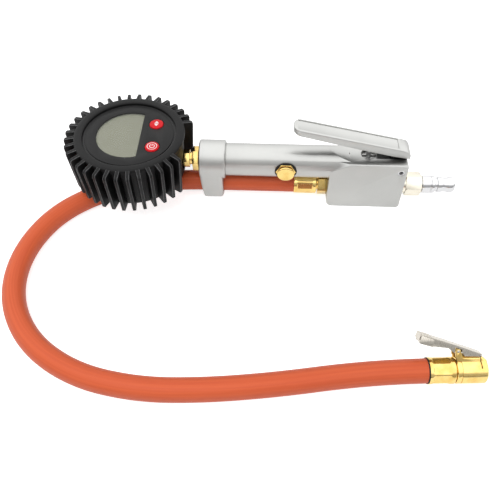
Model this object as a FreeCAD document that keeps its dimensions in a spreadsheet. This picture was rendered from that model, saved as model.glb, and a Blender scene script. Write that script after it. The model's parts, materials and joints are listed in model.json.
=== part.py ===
import FreeCAD, Part

import math
import os

import Sketcher
from FreeCAD import Placement, Rotation, Vector

# Portable tire inflator: a barrel and valve block with a lever on top, a digital gauge in a ribbed rubber
# boot, an inlet plug, and a rubber hose that ends in a clip-on chuck.
# Millimetres, +Z up, +X along the barrel from the gauge to the inlet plug, and -Y is the bleed button's side.
# The origin is on the surface that the block stands on, under the middle of the rigid tool.

doc = FreeCAD.newDocument("tire_inflator")

# Driving dimensions, one cell each

SIZES = {
    # barrel and valve block, one casting
    "barrel_od": 21.4,
    "barrel_bore": 15.0,
    "barrel_start": 6.2,
    "barrel_reach": 85.2,
    "bore_past_shoulder": 12.6,
    "block_length": 49.7,
    "block_width": 21.6,
    "block_rise": 7.3,
    "block_corner": 4.5,
    "edge_chamfer": 0.8,
    "shoulder_length": 14.6,
    "shoulder_width": 4.4,
    "shoulder_drop": 6.7,
    "ridge_run": 13.0,
    # end cap with its hose lug
    "cap_od": 25.2,
    "cap_length": 17.0,
    "cap_wall": 5.0,
    "cap_chamfer": 0.6,
    "lug_length": 15.2,
    "lug_radius": 11.3,
    "lug_taper": 1.8,
    "lug_corner": 2.4,
    "hose_drop": 19.6,
    "slip_gap": 0.1,
    "washer_thickness": 0.6,
    # hose and its two crimped ends
    "hose_od": 13.7,
    "hose_bore": 6.4,
    "hose_gap": 0.35,
    "ferrule_wall": 0.5,
    "ferrule_length": 15.3,
    "ferrule_lip": 0.8,
    "barb_length": 13.5,
    "barb_height": 0.25,
    "barb_pitch": 3.6,
    "fitting_hex": 14.0,
    "fitting_hex_length": 6.1,
    "fitting_neck": 4.5,
    "port_radius": 4.8,
    "port_depth": 11.0,
    "air_hole": 2.0,
    # gauge boot and case
    "gauge_offset": 44.2,
    "boot_radius": 40.0,
    "boot_back_radius": 39.4,
    "boot_core": 33.4,
    "boot_wall": 1.8,
    "boot_floor": 2.0,
    "boot_opening": 28.3,
    "boot_depth": 29.3,
    "lip_rise": 0.9,
    "lip_thickness": 1.3,
    "lip_round": 1.0,
    "face_rise": 19.3,
    "face_radius": 28.9,
    "rib_root": 3.5,
    "rib_tip": 2.4,
    "rib_chamfer": 0.8,
    "rib_slope": 2.4,
    "rib_spacing": 9.9,
    "ribs_left_out": 4,
    "rib_turn": -4.75,
    "stem_opening": 7.0,
    "case_wall": 2.9,
    "panel_thickness": 1.2,
    "panel_ledge": 1.4,
    "window_radius": 21.3,
    "window_chord": 7.1,
    "window_thickness": 0.8,
    "display_margin": 2.0,
    "display_thickness": 2.8,
    "board_thickness": 1.6,
    "board_radius": 27.0,
    "cover_thickness": 2.0,
    "post_radius": 3.0,
    "post_circle": 25.8,
    "screw_shank": 1.0,
    "screw_head": 2.1,
    "screw_head_height": 1.2,
    "screw_length": 8.0,
    "board_screw_length": 4.8,
    "screw_sink": 0.2,
    # buttons and power
    "button_radius": 4.5,
    "button_x": 16.1,
    "power_y": 11.2,
    "unit_y": 10.4,
    "button_rise": 0.6,
    "button_gap": 0.3,
    "button_flange": 5.4,
    "button_flange_height": 0.6,
    "button_plunger": 1.2,
    "button_plunger_height": 0.5,
    "button_bevel": 0.4,
    "switch_side": 4.0,
    "switch_height": 0.8,
    "cell_radius": 5.25,
    "cell_length": 44.5,
    "cell_spacing": 11.0,
    "cell_offset": 0.7,
    "tray_wall": 0.9,
    "contact_thickness": 0.7,
    "contact_side": 8.0,
    "lead_radius": 0.3,
    # gauge stem, connector and sensor
    "stem_hex": 10.0,
    "stem_hex_start": 11.5,
    "stem_hex_end": 6.7,
    "stem_radius": 4.7,
    "stem_thread": 4.0,
    "stem_bore": 1.5,
    "stem_inner_end": 22.0,
    "boss_depth": 4.5,
    "boss_width": 16.0,
    "sensor_radius": 5.5,
    "sensor_length": 7.5,
    "sensor_nut": 11.0,
    "connector_hex": 14.0,
    "connector_hex_length": 4.0,
    "connector_radius": 5.6,
    "connector_depth": 8.0,
    # bleed valve
    "bleed_x": 56.5,
    "bleed_hex": 11.4,
    "bleed_hex_thickness": 0.9,
    "bleed_washer": 0.5,
    "bleed_spot_depth": 0.8,
    "bleed_spot_radius": 7.2,
    "bleed_shank": 4.1,
    "bleed_shank_length": 3.4,
    "bleed_stem": 1.5,
    "bleed_head": 3.2,
    "bleed_head_length": 1.3,
    "bleed_seal_length": 1.1,
    "bleed_cap": 5.65,
    "bleed_cap_thickness": 1.1,
    "bleed_travel": 1.0,
    "bleed_stop_gap": 0.2,
    "bleed_wire": 0.5,
    # main valve
    "valve_x": 110.0,
    "valve_stem": 1.4,
    "stem_tip_gap": 0.35,
    "chamber_radius": 5.4,
    "seat_height": 16.0,
    "seat_thickness": 2.4,
    "seat_bore": 3.2,
    "gallery_radius": 3.4,
    "gland_radius": 5.0,
    "gland_length": 8.4,
    "gland_recess": 1.6,
    "gland_slot_width": 1.4,
    "gland_slot_depth": 1.2,
    "seal_wire": 0.85,
    "poppet_radius": 4.3,
    "poppet_length": 2.0,
    "poppet_boss": 2.2,
    "poppet_seal_length": 1.0,
    "plug_radius": 6.9,
    "plug_depth": 2.6,
    "plug_recess": 0.4,
    "plug_thread_length": 4.0,
    "plug_key": 6.0,
    "plug_key_depth": 1.6,
    "plug_hollow": 2.2,
    "valve_wire": 0.8,
    "valve_coil": 2.9,
    # lever
    "pivot_from_end": 3.8,
    "pivot_height": 0.9,
    "pin_radius": 2.2,
    "pin_bore": 1.4,
    "pin_clearance": 0.08,
    "lever_width": 12.1,
    "lever_wall": 2.2,
    "lever_ceiling": 2.4,
    "lever_left": 60.2,
    "lever_tip_height": 31.2,
    "lever_tip_thickness": 4.1,
    "lever_slope": 12.2,
    "lever_nose": 0.6,
    "lever_knee": 102.5,
    "lever_knee_depth": 5.8,
    "lever_heel_clearance": 2.0,
    "lever_waist_clearance": 3.9,
    "lever_heel_side": 4.8,
    "lever_heel_top": 7.2,
    "lever_heel_slant": 2.0,
    "lever_tip_corner": 5.0,
    "lever_edge": 0.9,
    "tang_width": 6.2,
    "tang_radius": 3.6,
    "tang_reach": 6.6,
    "slot_gap": 0.3,
    "slot_reach": 7.2,
    "slot_floor": 4.4,
    "panel_recess": 0.5,
    "panel_rim": 1.5,
    "panel_end": 4.0,
    # inlet
    "inlet_drop": 18.6,
    "inlet_neck": 3.1,
    "inlet_neck_radius": 6.2,
    "inlet_hex": 14.0,
    "inlet_hex_length": 10.4,
    "inlet_bevel": 0.7,
    "inlet_thread": 5.0,
    "inlet_thread_length": 9.0,
    "inlet_drilling": 2.5,
    "inlet_washer_edge": 0.6,
    "filter_thickness": 1.0,
    "nipple_shoulder": 5.95,
    "nipple_nose": 5.3,
    "nipple_waist": 4.7,
    "nipple_groove": 4.4,
    "nipple_length": 23.0,
    "nipple_bore": 3.0,
    "nipple_edge": 0.3,
    "nipple_line": 0.6,
    # chuck, along and above its own axis
    "chuck_x": 134.3,
    "chuck_y": -138.15,
    "chuck_yaw": 3.0,
    "chuck_roll": 43.0,
    "chuck_ferrule": 14.2,
    "chuck_neck": 5.6,
    "chuck_neck_length": 0.5,
    "chuck_collar": 2.4,
    "chuck_groove": 0.4,
    "chuck_radius": 7.2,
    "chuck_length": 31.4,
    "chuck_mouth": 4.1,
    "chuck_mouth_depth": 10.2,
    "chuck_seal_length": 2.6,
    "depressor_radius": 0.9,
    "depressor_length": 5.4,
    "depressor_plate": 0.8,
    "ridge_width": 7.8,
    "ridge_gap": 0.4,
    "ridge_height": 9.0,
    "ridge_end_height": 8.6,
    "ridge_corner": 1.2,
    "ear_thickness": 1.5,
    "ear_radius": 1.3,
    "ear_base": 0.9,
    "ear_run": 3.5,
    "ear_shoulder": 1.0,
    "clip_along": 15.5,
    "clip_height": 11.8,
    "clip_pin": 0.8,
    "clip_pin_head": 0.3,
    "clip_thickness": 1.1,
    "clip_width": 7.6,
    "clip_flange": 1.0,
    "clip_knuckle": 0.8,
    "clip_gap": 0.2,
    "hook_tip": 4.4,
    "clip_wire": 0.5,
    "ferrule_gap": 1.0,
    "stem_tip_inset": 0.6,
    "chuck_thread": 4.6,
    "chuck_thread_length": 5.0,
    "chuck_bevel": 0.8,
    "hook_clearance": 0.4,
    "hook_swing": 1.7,
    "hook_floor": 3.4,
    "tooth_width": 5.0,
    "seal_bore": 2.5,
    "vent_radius": 0.6,
    "handle_reach": 20.6,
    "handle_rise": 10.0,
    "bend_rise": 2.9,
    "jaw_length": 13.4,
    "jaw_corner": 1.4,
    "jaw_flange_start": 3.5,
    "jaw_flange_lean": 1.5,
    "jaw_flange_rise": 2.6,
    "flange_gap": 0.7,
    "flange_height": 4.4,
    "flange_waist": 2.3,
    "tab_shoulder": 1.7,
    "spring_fit": 0.25,
    "spring_leg": 1.6,
    "spring_foot": 3.3,
}

sheet = doc.addObject("Spreadsheet::Sheet", "sizes")
for row, (alias, number) in enumerate(SIZES.items(), start=1):
    sheet.set(f"A{row}", alias.replace("_", " "))
    sheet.set(f"B{row}", str(number))
    sheet.setAlias(f"B{row}", alias)
doc.recompute()


# Sizes that know the sheet expression they come from


class Size:
    """A length or count: its value, and the sheet expression that gives it."""

    def __init__(self, value, text):
        self.value = float(value)
        self.text = text

    def __add__(self, other):
        return Size(self.value + value_of(other), f"({self.text} + {text_of(other)})")

    def __radd__(self, other):
        return self + other

    def __sub__(self, other):
        return Size(self.value - value_of(other), f"({self.text} - {text_of(other)})")

    def __rsub__(self, other):
        return Size(value_of(other) - self.value, f"({text_of(other)} - {self.text})")

    def __mul__(self, other):
        return Size(self.value * value_of(other), f"({self.text} * {text_of(other)})")

    def __rmul__(self, other):
        return self * other

    def __truediv__(self, other):
        return Size(self.value / value_of(other), f"({self.text} / {text_of(other)})")

    def __neg__(self):
        return Size(-self.value, f"(0 - {self.text})")


def value_of(number):
    """The plain value of a Size or a number."""
    return number.value if isinstance(number, Size) else float(number)


def text_of(number):
    """The expression of a Size or a number."""
    return number.text if isinstance(number, Size) else f"({float(number):.9f})"


def size(alias):
    """The sheet's size of that name."""
    return Size(SIZES[alias], f"sizes.{alias}")


def root(number):
    """The square root of a size."""
    return Size(math.sqrt(number.value), f"sqrt({number.text})")


def bind(thing, name, number):
    """Ties a property to the sheet."""
    if isinstance(number, Size):
        thing.setExpression(name, number.text)
    else:
        setattr(thing, name, number)


# Directions of a piece's own +Z axis

TURNS = {
    "+Z": Rotation(),
    "+X": Rotation(Vector(0, 1, 0), 90),
    "-X": Rotation(Vector(0, 1, 0), -90),
    "+Y": Rotation(Vector(1, 0, 0), -90),
    "-Y": Rotation(Vector(1, 0, 0), 90),
}


places = {}


def put(thing, at, turn=None):
    """Places a thing at a point given in sizes, turned as asked."""
    turn = turn or Rotation()
    places[thing.Name] = (at, turn)
    thing.Placement = Placement(Vector(*[value_of(number) for number in at]), turn)
    for axis, number in zip("xyz", at):
        if isinstance(number, Size):
            thing.setExpression(f"Placement.Base.{axis}", number.text)
    return thing


def cylinder(name, radius, length, at, axis="+Z"):
    thing = doc.addObject("Part::Cylinder", name)
    bind(thing, "Radius", radius)
    bind(thing, "Height", length)
    return put(thing, at, TURNS[axis])


def box(name, sides, at, turn=None):
    """A box from its lowest corner."""
    thing = doc.addObject("Part::Box", name)
    for side, number in zip(("Length", "Width", "Height"), sides):
        bind(thing, side, number)
    return put(thing, at, turn)


def hexagon(name, across_flats, length, at, axis, roll=0.0):
    """A hexagonal bar, turned about its own axis by roll degrees."""
    thing = doc.addObject("Part::Prism", name)
    thing.Polygon = 6
    bind(thing, "Circumradius", across_flats / math.sqrt(3.0))
    bind(thing, "Height", length)
    return put(thing, at, TURNS[axis].multiply(Rotation(Vector(0, 0, 1), roll)))


def ring(name, centre_radius, wire_radius, at, axis):
    """A torus about an axis."""
    thing = doc.addObject("Part::Torus", name)
    bind(thing, "Radius1", centre_radius)
    bind(thing, "Radius2", wire_radius)
    return put(thing, at, TURNS[axis])


def fuse(name, things):
    result = doc.addObject("Part::MultiFuse", name)
    result.Shapes = things
    result.Refine = True
    return result


def cut(name, base, tools):
    """The base without its tools."""
    tool = tools[0] if len(tools) == 1 else fuse(name + "_cutters", tools)
    result = doc.addObject("Part::Cut", name)
    result.Base = base
    result.Tool = tool
    result.Refine = True
    return result


def group(name, things):
    """Separate like solids kept as one sub-part."""
    result = doc.addObject("Part::Compound", name)
    result.Links = things
    return result


def outline(body, role, points):
    """A closed sketch of straight lines on one of the body's own planes, each corner tied to the sheet."""
    sketch = body.newObject("Sketcher::SketchObject", body.Name + "_outline")
    plane = [feature for feature in body.Origin.OriginFeatures if feature.Role == role][0]
    sketch.AttachmentSupport = [(plane, "")]
    sketch.MapMode = "FlatFace"
    corners = [Vector(value_of(x), value_of(y), 0) for x, y in points]
    count = len(corners)
    for index in range(count):
        sketch.addGeometry(Part.LineSegment(corners[index], corners[(index + 1) % count]))
    for index in range(count):
        sketch.addConstraint(Sketcher.Constraint("Coincident", index, 2, (index + 1) % count, 1))
    for index, point in enumerate(points):
        ties = (("x", "DistanceX", -2, point[0]), ("y", "DistanceY", -1, point[1]))
        for letter, kind, other_axis, number in ties:
            if isinstance(number, Size):
                place = sketch.addConstraint(Sketcher.Constraint(kind, -1, 1, index, 1, number.value))
                sketch.renameConstraint(place, f"{letter}{index}")
                sketch.setExpression(f"Constraints.{letter}{index}", number.text)
            elif number == 0:
                sketch.addConstraint(Sketcher.Constraint("PointOnObject", index, 1, other_axis))
            else:
                sketch.addConstraint(Sketcher.Constraint(kind, -1, 1, index, 1, float(number)))
    return sketch


def turned(name, points, at, axis="+Z"):
    """A body turned about its own Z axis from an outline of (radius, along) corners."""
    body = doc.addObject("PartDesign::Body", name)
    sketch = outline(body, "XZ_Plane", points)
    feature = body.newObject("PartDesign::Revolution", name + "_turn")
    feature.Profile = sketch
    feature.ReferenceAxis = (sketch, ["V_Axis"])
    feature.Angle = 360
    body.Tip = feature
    return put(body, at, TURNS[axis])


def plate(name, points, role, depth, centred=True):
    """A body padded from an outline; centred pads stand half on each side of their plane."""
    body = doc.addObject("PartDesign::Body", name)
    sketch = outline(body, role, points)
    feature = body.newObject("PartDesign::Pad", name + "_pad")
    feature.Profile = sketch
    if centred:
        feature.SideType = "Symmetric"
    bind(feature, "Length", depth)
    body.Tip = feature
    return body


def tube(name, outer, inner, length, at, axis):
    """A plain ring: a washer, a seat or a sleeve."""
    return turned(name, [(inner, 0), (outer, 0), (outer, length), (inner, length)], at, axis)


def coil(name, mean_radius, wire_radius, low, high, turns, at, axis):
    """A closed helical spring between two heights of its own axis."""
    height = value_of(high) - value_of(low) - 2 * value_of(wire_radius)
    helix = Part.makeHelix(height / turns, height, value_of(mean_radius))
    start = Vector(value_of(mean_radius), 0, 0)
    section = Part.Wire(Part.makeCircle(value_of(wire_radius), start, Vector(0, 1, 0)))
    shape = Part.Wire(helix.Edges).makePipeShell([section], True, True)
    thing = doc.addObject("Part::Feature", name)
    thing.Shape = shape
    here = Vector(*[value_of(number) for number in at])
    lift = Vector(0, 0, value_of(low) + value_of(wire_radius))
    thing.Placement = Placement(here + TURNS[axis].multVec(lift), TURNS[axis])
    return thing


def edge_names(shape, wanted):
    """The names of a shape's edges that pass a test."""
    return [f"Edge{number}" for number, edge in enumerate(shape.Edges, start=1) if wanted(edge)]


def near(first, second):
    return abs(value_of(first) - value_of(second)) < 1e-4


def soften(body, kind, name, amount, wanted):
    """Fillets or chamfers the edges of a body that pass a test."""
    doc.recompute()
    base = body.Tip
    names = edge_names(base.Shape, wanted)
    if not names:
        raise RuntimeError(f"{name} found no edges")
    feature = body.newObject(kind, name)
    feature.Base = (base, names)
    bind(feature, "Radius" if kind.endswith("Fillet") else "Size", amount)
    body.Tip = feature


def tilted_box(name, point, slope, reach):
    """A large box whose underside lies on a plane through a point, with the plane's upward normal."""
    turn = Rotation(Vector(0, 0, 1), slope)
    corner = point + turn.multVec(Vector(-reach, -reach, 0))
    thing = doc.addObject("Part::Box", name)
    thing.Length = 2 * reach
    thing.Width = 2 * reach
    thing.Height = reach
    thing.Placement = Placement(corner, turn)
    return thing


# Main places

bore_radius = size("barrel_bore") / 2
barrel_radius = size("barrel_od") / 2
hose_radius = size("hose_od") / 2
axis_z = size("hose_drop") + size("lug_radius")
hose_z = size("lug_radius")
block_top = axis_z + size("block_rise")
block_left_reach = size("barrel_reach")
block_right_reach = size("barrel_reach") + size("block_length")
plug_reach = block_right_reach + size("inlet_neck") + size("inlet_hex_length") + size("nipple_length")
cap_x = (size("gauge_offset") + size("boot_radius") - plug_reach) / 2
gauge_x = cap_x - size("gauge_offset")
block_left = cap_x + block_left_reach
block_right = cap_x + block_right_reach
valve_at = cap_x + size("valve_x")
pivot_x = block_right - size("pivot_from_end")
pivot_z = axis_z + size("pivot_height")
inlet_z = axis_z - size("inlet_drop")
boot_back = axis_z + size("face_rise") - size("boot_depth")
half_block = size("block_width") / 2

PAST = 1.0  # how far a cutter runs past the face that it opens

pieces = []


def keep(piece, label):
    """Names a finished sub-part."""
    piece.Label = label
    pieces.append(piece)
    return piece


# Barrel and valve block


def valve_body():
    """One casting: the barrel tube, the shoulder, and the block with its bores and the lever's slot."""
    block = plate(
        "block",
        [(block_left, 0), (block_right, 0), (block_right, block_top), (block_left, block_top)],
        "XZ_Plane",
        size("block_width"),
    )

    def low_edge_at(end):
        """Picks the block's lower cross edge at one of its ends."""

        def wanted(edge):
            across = edge.BoundBox.YLength > 1
            return across and near(edge.BoundBox.ZMax, 0) and near(edge.BoundBox.XMin, end)

        return wanted

    soften(
        block, "PartDesign::Fillet", "block_corners", size("block_corner"), low_edge_at(block_left)
    )
    soften(
        block, "PartDesign::Fillet", "block_heel", size("block_corner") / 2, low_edge_at(block_right)
    )
    soften(
        block, "PartDesign::Chamfer", "block_edges", size("edge_chamfer"),
        lambda edge: near(edge.BoundBox.ZMin, block_top),
    )
    left, top, side = value_of(block_left), value_of(block_top), value_of(half_block)
    corners = []
    for sign in (-1, 1):
        inner = Vector(left, sign * (side - SIZES["shoulder_width"]), top)
        low = Vector(left, sign * side, top - SIZES["shoulder_drop"])
        far = Vector(left + SIZES["shoulder_length"], sign * side, top)
        normal = (low - inner).cross(far - inner)
        normal = normal if normal.y * sign > 0 else -normal
        side_name = "near" if sign < 0 else "far"
        corners.append(tilted_box(f"shoulder_{side_name}", inner, normal, SIZES["block_length"]))
    shoulder = cut("shouldered_block", block, corners)
    ridge = cylinder(
        "ridge", barrel_radius, size("ridge_run") + PAST, (block_left - PAST, 0, axis_z), "+X"
    )
    crown = Vector(left, 0, value_of(axis_z + barrel_radius))
    fall = Vector(SIZES["ridge_run"], 0, -(SIZES["barrel_od"] / 2 - SIZES["block_rise"]))
    trim = tilted_box("ridge_trim", crown, Vector(-fall.z, 0, fall.x), SIZES["block_length"])
    ridge_end = cut("ridge_end", ridge, [trim])
    barrel = cylinder(
        "barrel", barrel_radius, block_left_reach - size("barrel_start"),
        (cap_x + size("barrel_start"), 0, axis_z), "+X",
    )
    casting = fuse("casting", [barrel, ridge_end, shoulder])
    spot = barrel_radius - size("bleed_spot_depth")
    port_end = block_left + size("port_depth")
    bore_end = block_left + size("bore_past_shoulder")
    seat_top = size("seat_height") + size("seat_thickness")
    gland_floor = block_top - size("gland_length")
    gallery_z = axis_z - bore_radius + size("air_hole") * 1.3
    drill_x = port_end - size("air_hole") * 1.5
    slot_width = size("tang_width") + 2 * size("slot_gap")
    holes = [
        cylinder("main_bore", bore_radius, bore_end - cap_x, (cap_x, 0, axis_z), "+X"),
        cylinder(
            "bleed_hole", size("bleed_shank"), barrel_radius, (cap_x + size("bleed_x"), 0, axis_z), "-Y"
        ),
        cylinder(
            "bleed_spot", size("bleed_spot_radius"), barrel_radius,
            (cap_x + size("bleed_x"), -spot, axis_z), "-Y",
        ),
        cylinder(
            "hose_port", size("port_radius"), size("port_depth") + PAST, (block_left - PAST, 0, hose_z), "+X"
        ),
        cylinder("hose_drilling", size("air_hole"), axis_z - hose_z, (drill_x, 0, hose_z), "+Z"),
        cylinder(
            "plug_counterbore", size("plug_radius") + size("slip_gap"), size("plug_depth") + PAST,
            (valve_at, 0, -PAST), "+Z",
        ),
        cylinder("valve_chamber", size("chamber_radius"), seat_top, (valve_at, 0, 0), "+Z"),
        cylinder("valve_gallery", size("gallery_radius"), gland_floor, (valve_at, 0, 0), "+Z"),
        cylinder(
            "gland_hole", size("gland_radius"), size("gland_length") + PAST, (valve_at, 0, gland_floor), "+Z"
        ),
        cylinder(
            "side_gallery", size("air_hole"), valve_at - bore_end + PAST,
            (bore_end - PAST, 0, gallery_z), "+X",
        ),
        cylinder(
            "inlet_port", size("inlet_thread"), size("inlet_thread_length") + PAST,
            (block_right - size("inlet_thread_length"), 0, inlet_z), "+X",
        ),
        cylinder(
            "inlet_drilling", size("inlet_drilling"),
            block_right - size("inlet_thread_length") - valve_at + PAST, (valve_at, 0, inlet_z), "+X",
        ),
        box(
            "lever_slot",
            (size("slot_reach") + size("pivot_from_end") + PAST, slot_width, size("slot_floor") + block_top),
            (pivot_x - size("slot_reach"), -slot_width / 2, pivot_z - size("slot_floor")),
        ),
        cylinder(
            "pin_hole", size("pin_radius"), size("block_width") + 2 * PAST,
            (pivot_x, -half_block - PAST, pivot_z), "+Y",
        ),
    ]
    keep(cut("valve_casting", casting, holes), "valve_body")


def end_cap():
    """The collar over the barrel's end, with the lug that holds the hose below it."""
    cap_radius = size("cap_od") / 2
    bevel = size("cap_chamfer")
    collar = turned(
        "collar",
        [
            (0, 0), (cap_radius - bevel, 0), (cap_radius, bevel), (cap_radius, size("cap_length") - bevel),
            (cap_radius - bevel, size("cap_length")), (0, size("cap_length")),
        ],
        (cap_x, 0, axis_z), "+X",
    )
    lean = (cap_radius - size("lug_radius")) / size("hose_drop")
    flat = root(1 - lean * lean)
    cap_touch = axis_z - cap_radius * lean
    lug_touch = hose_z - size("lug_radius") * lean
    web = plate(
        "lug_web",
        [
            (-(cap_radius * flat), cap_touch), (-(size("lug_radius") * flat), lug_touch),
            (size("lug_radius") * flat, lug_touch), (cap_radius * flat, cap_touch),
        ],
        "YZ_Plane", size("lug_length"), centred=False,
    )
    put(web, (cap_x, 0, 0))
    foot = cylinder("lug_foot", size("lug_radius"), size("lug_length"), (cap_x, 0, hose_z), "+X")
    lug = fuse("lug_solid", [web, foot])
    doc.recompute()
    left, right = value_of(cap_x), value_of(cap_x + size("lug_length"))
    limit = value_of(axis_z) - SIZES["cap_od"] / 4

    def on_ends(edge):
        flat_edge = edge.BoundBox.XLength < 1e-4
        at_end = near(edge.BoundBox.XMin, left) or near(edge.BoundBox.XMin, right)
        return flat_edge and at_end and edge.BoundBox.ZMin < limit

    rounded = doc.addObject("Part::Fillet", "lug_rounded")
    rounded.Base = lug
    amount = SIZES["lug_corner"]
    rounded.Edges = [
        (number, amount, amount) for number, edge in enumerate(lug.Shape.Edges, start=1) if on_ends(edge)
    ]
    slope_top = Vector(left, 0, value_of(axis_z) - SIZES["cap_od"] / 5)
    run = Vector(SIZES["lug_taper"], 0, value_of(hose_z) - slope_top.z)
    taper = tilted_box("lug_taper_cut", slope_top, Vector(run.z, 0, -run.x), SIZES["barrel_reach"])
    tapered = cut("lug_tapered", rounded, [taper])
    solid = fuse("cap_solid", [collar, tapered])
    holes = [
        cylinder(
            "cap_thread", size("connector_radius"), size("cap_wall") + 2 * PAST,
            (cap_x - PAST, 0, axis_z), "+X",
        ),
        cylinder(
            "cap_socket", barrel_radius + size("slip_gap"), size("cap_length"),
            (cap_x + size("cap_wall"), 0, axis_z), "+X",
        ),
        cylinder(
            "lug_hole", hose_radius + size("hose_gap"), size("lug_length") + 2 * PAST,
            (cap_x - PAST, 0, hose_z), "+X",
        ),
    ]
    keep(cut("barrel_end_cap", solid, holes), "barrel_end_cap")
    seal_gap = size("barrel_start") - size("cap_wall")
    keep(
        ring(
            "cap_seal_ring", barrel_radius - seal_gap / 2 - 0.4, seal_gap / 2,
            (cap_x + size("cap_wall") + seal_gap / 2, 0, axis_z), "+X",
        ),
        "end_cap_seal",
    )


# Gauge, built about its own centre


def gauge_place(x, y, z):
    """A point of the gauge: from its centre, and up from the boot's back."""
    return (gauge_x + x, y, boot_back + z)


def gauge_boot():
    """The rubber boot: a cup with a lip, radial ribs that taper outwards, and an opening for the stem."""
    face = size("boot_depth")
    lip = face + size("lip_rise")
    under = lip - size("lip_thickness")
    inner = size("boot_core") - size("boot_wall")
    soft = size("lip_round")
    core = turned(
        "boot",
        [
            (size("boot_opening"), 0), (size("boot_core") - soft, 0), (size("boot_core"), soft),
            (size("boot_core"), lip - soft), (size("boot_core") - soft, lip - soft / 4),
            (size("boot_core") - 2 * soft, lip), (size("face_radius") + soft / 2, lip),
            (size("face_radius"), lip - soft / 2), (size("face_radius"), under), (inner, under),
            (inner, size("boot_floor")), (size("boot_opening"), size("boot_floor")),
        ],
        gauge_place(0, 0, 0),
    )
    half_gap = SIZES["rib_spacing"] * (SIZES["ribs_left_out"] + 1) / 2
    start = math.radians(half_gap + SIZES["rib_turn"])
    along, across = (math.cos(start), math.sin(start)), (-math.sin(start), math.cos(start))
    root_r = size("boot_core") - size("boot_wall") / 2

    def rib_corner(radius, half_width):
        return (radius * along[0] + half_width * across[0], radius * along[1] + half_width * across[1])

    rib_sketch = outline(
        core, "XY_Plane",
        [
            rib_corner(root_r, size("rib_root") / 2), rib_corner(root_r, -(size("rib_root") / 2)),
            rib_corner(size("boot_radius"), -(size("rib_tip") / 2)),
            rib_corner(size("boot_radius"), size("rib_tip") / 2),
        ],
    )
    rib = core.newObject("PartDesign::Pad", "rib")
    rib.Profile = rib_sketch
    rib_top = lip - soft / 3
    bind(rib, "Length", rib_top)
    core.Tip = rib
    doc.recompute()
    ribs = core.newObject("PartDesign::PolarPattern", "ribs")
    ribs.Originals = [rib]
    vertical = [feature for feature in core.Origin.OriginFeatures if feature.Role == "Z_Axis"][0]
    ribs.Axis = (vertical, [""])
    count = round(360 / SIZES["rib_spacing"]) - int(SIZES["ribs_left_out"])
    ribs.Angle = SIZES["rib_spacing"] * (count - 1)
    ribs.Occurrences = count
    core.Tip = ribs
    bevel, slope = size("rib_chamfer"), size("rib_slope")
    beyond = size("boot_radius") + 2 * bevel
    trim_sketch = outline(
        core, "XZ_Plane",
        [
            (size("boot_radius") - slope, rib_top + PAST), (size("boot_radius") - slope, rib_top),
            (size("boot_radius"), rib_top - slope), (size("boot_back_radius"), bevel / 2),
            (size("boot_back_radius") - bevel / 2, 0), (size("boot_back_radius") - bevel / 2, -PAST),
            (beyond, -PAST), (beyond, rib_top + PAST),
        ],
    )
    trim = core.newObject("PartDesign::Groove", "rib_trim")
    trim.Profile = trim_sketch
    trim.ReferenceAxis = (trim_sketch, ["V_Axis"])
    trim.Angle = 360
    core.Tip = trim
    opening = cylinder(
        "boot_stem_opening", size("stem_opening"), size("boot_radius") - inner + 2 * PAST,
        (gauge_x + inner - PAST, 0, axis_z), "+X",
    )
    keep(cut("boot_opened", core, [opening]), "gauge_boot")


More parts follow.
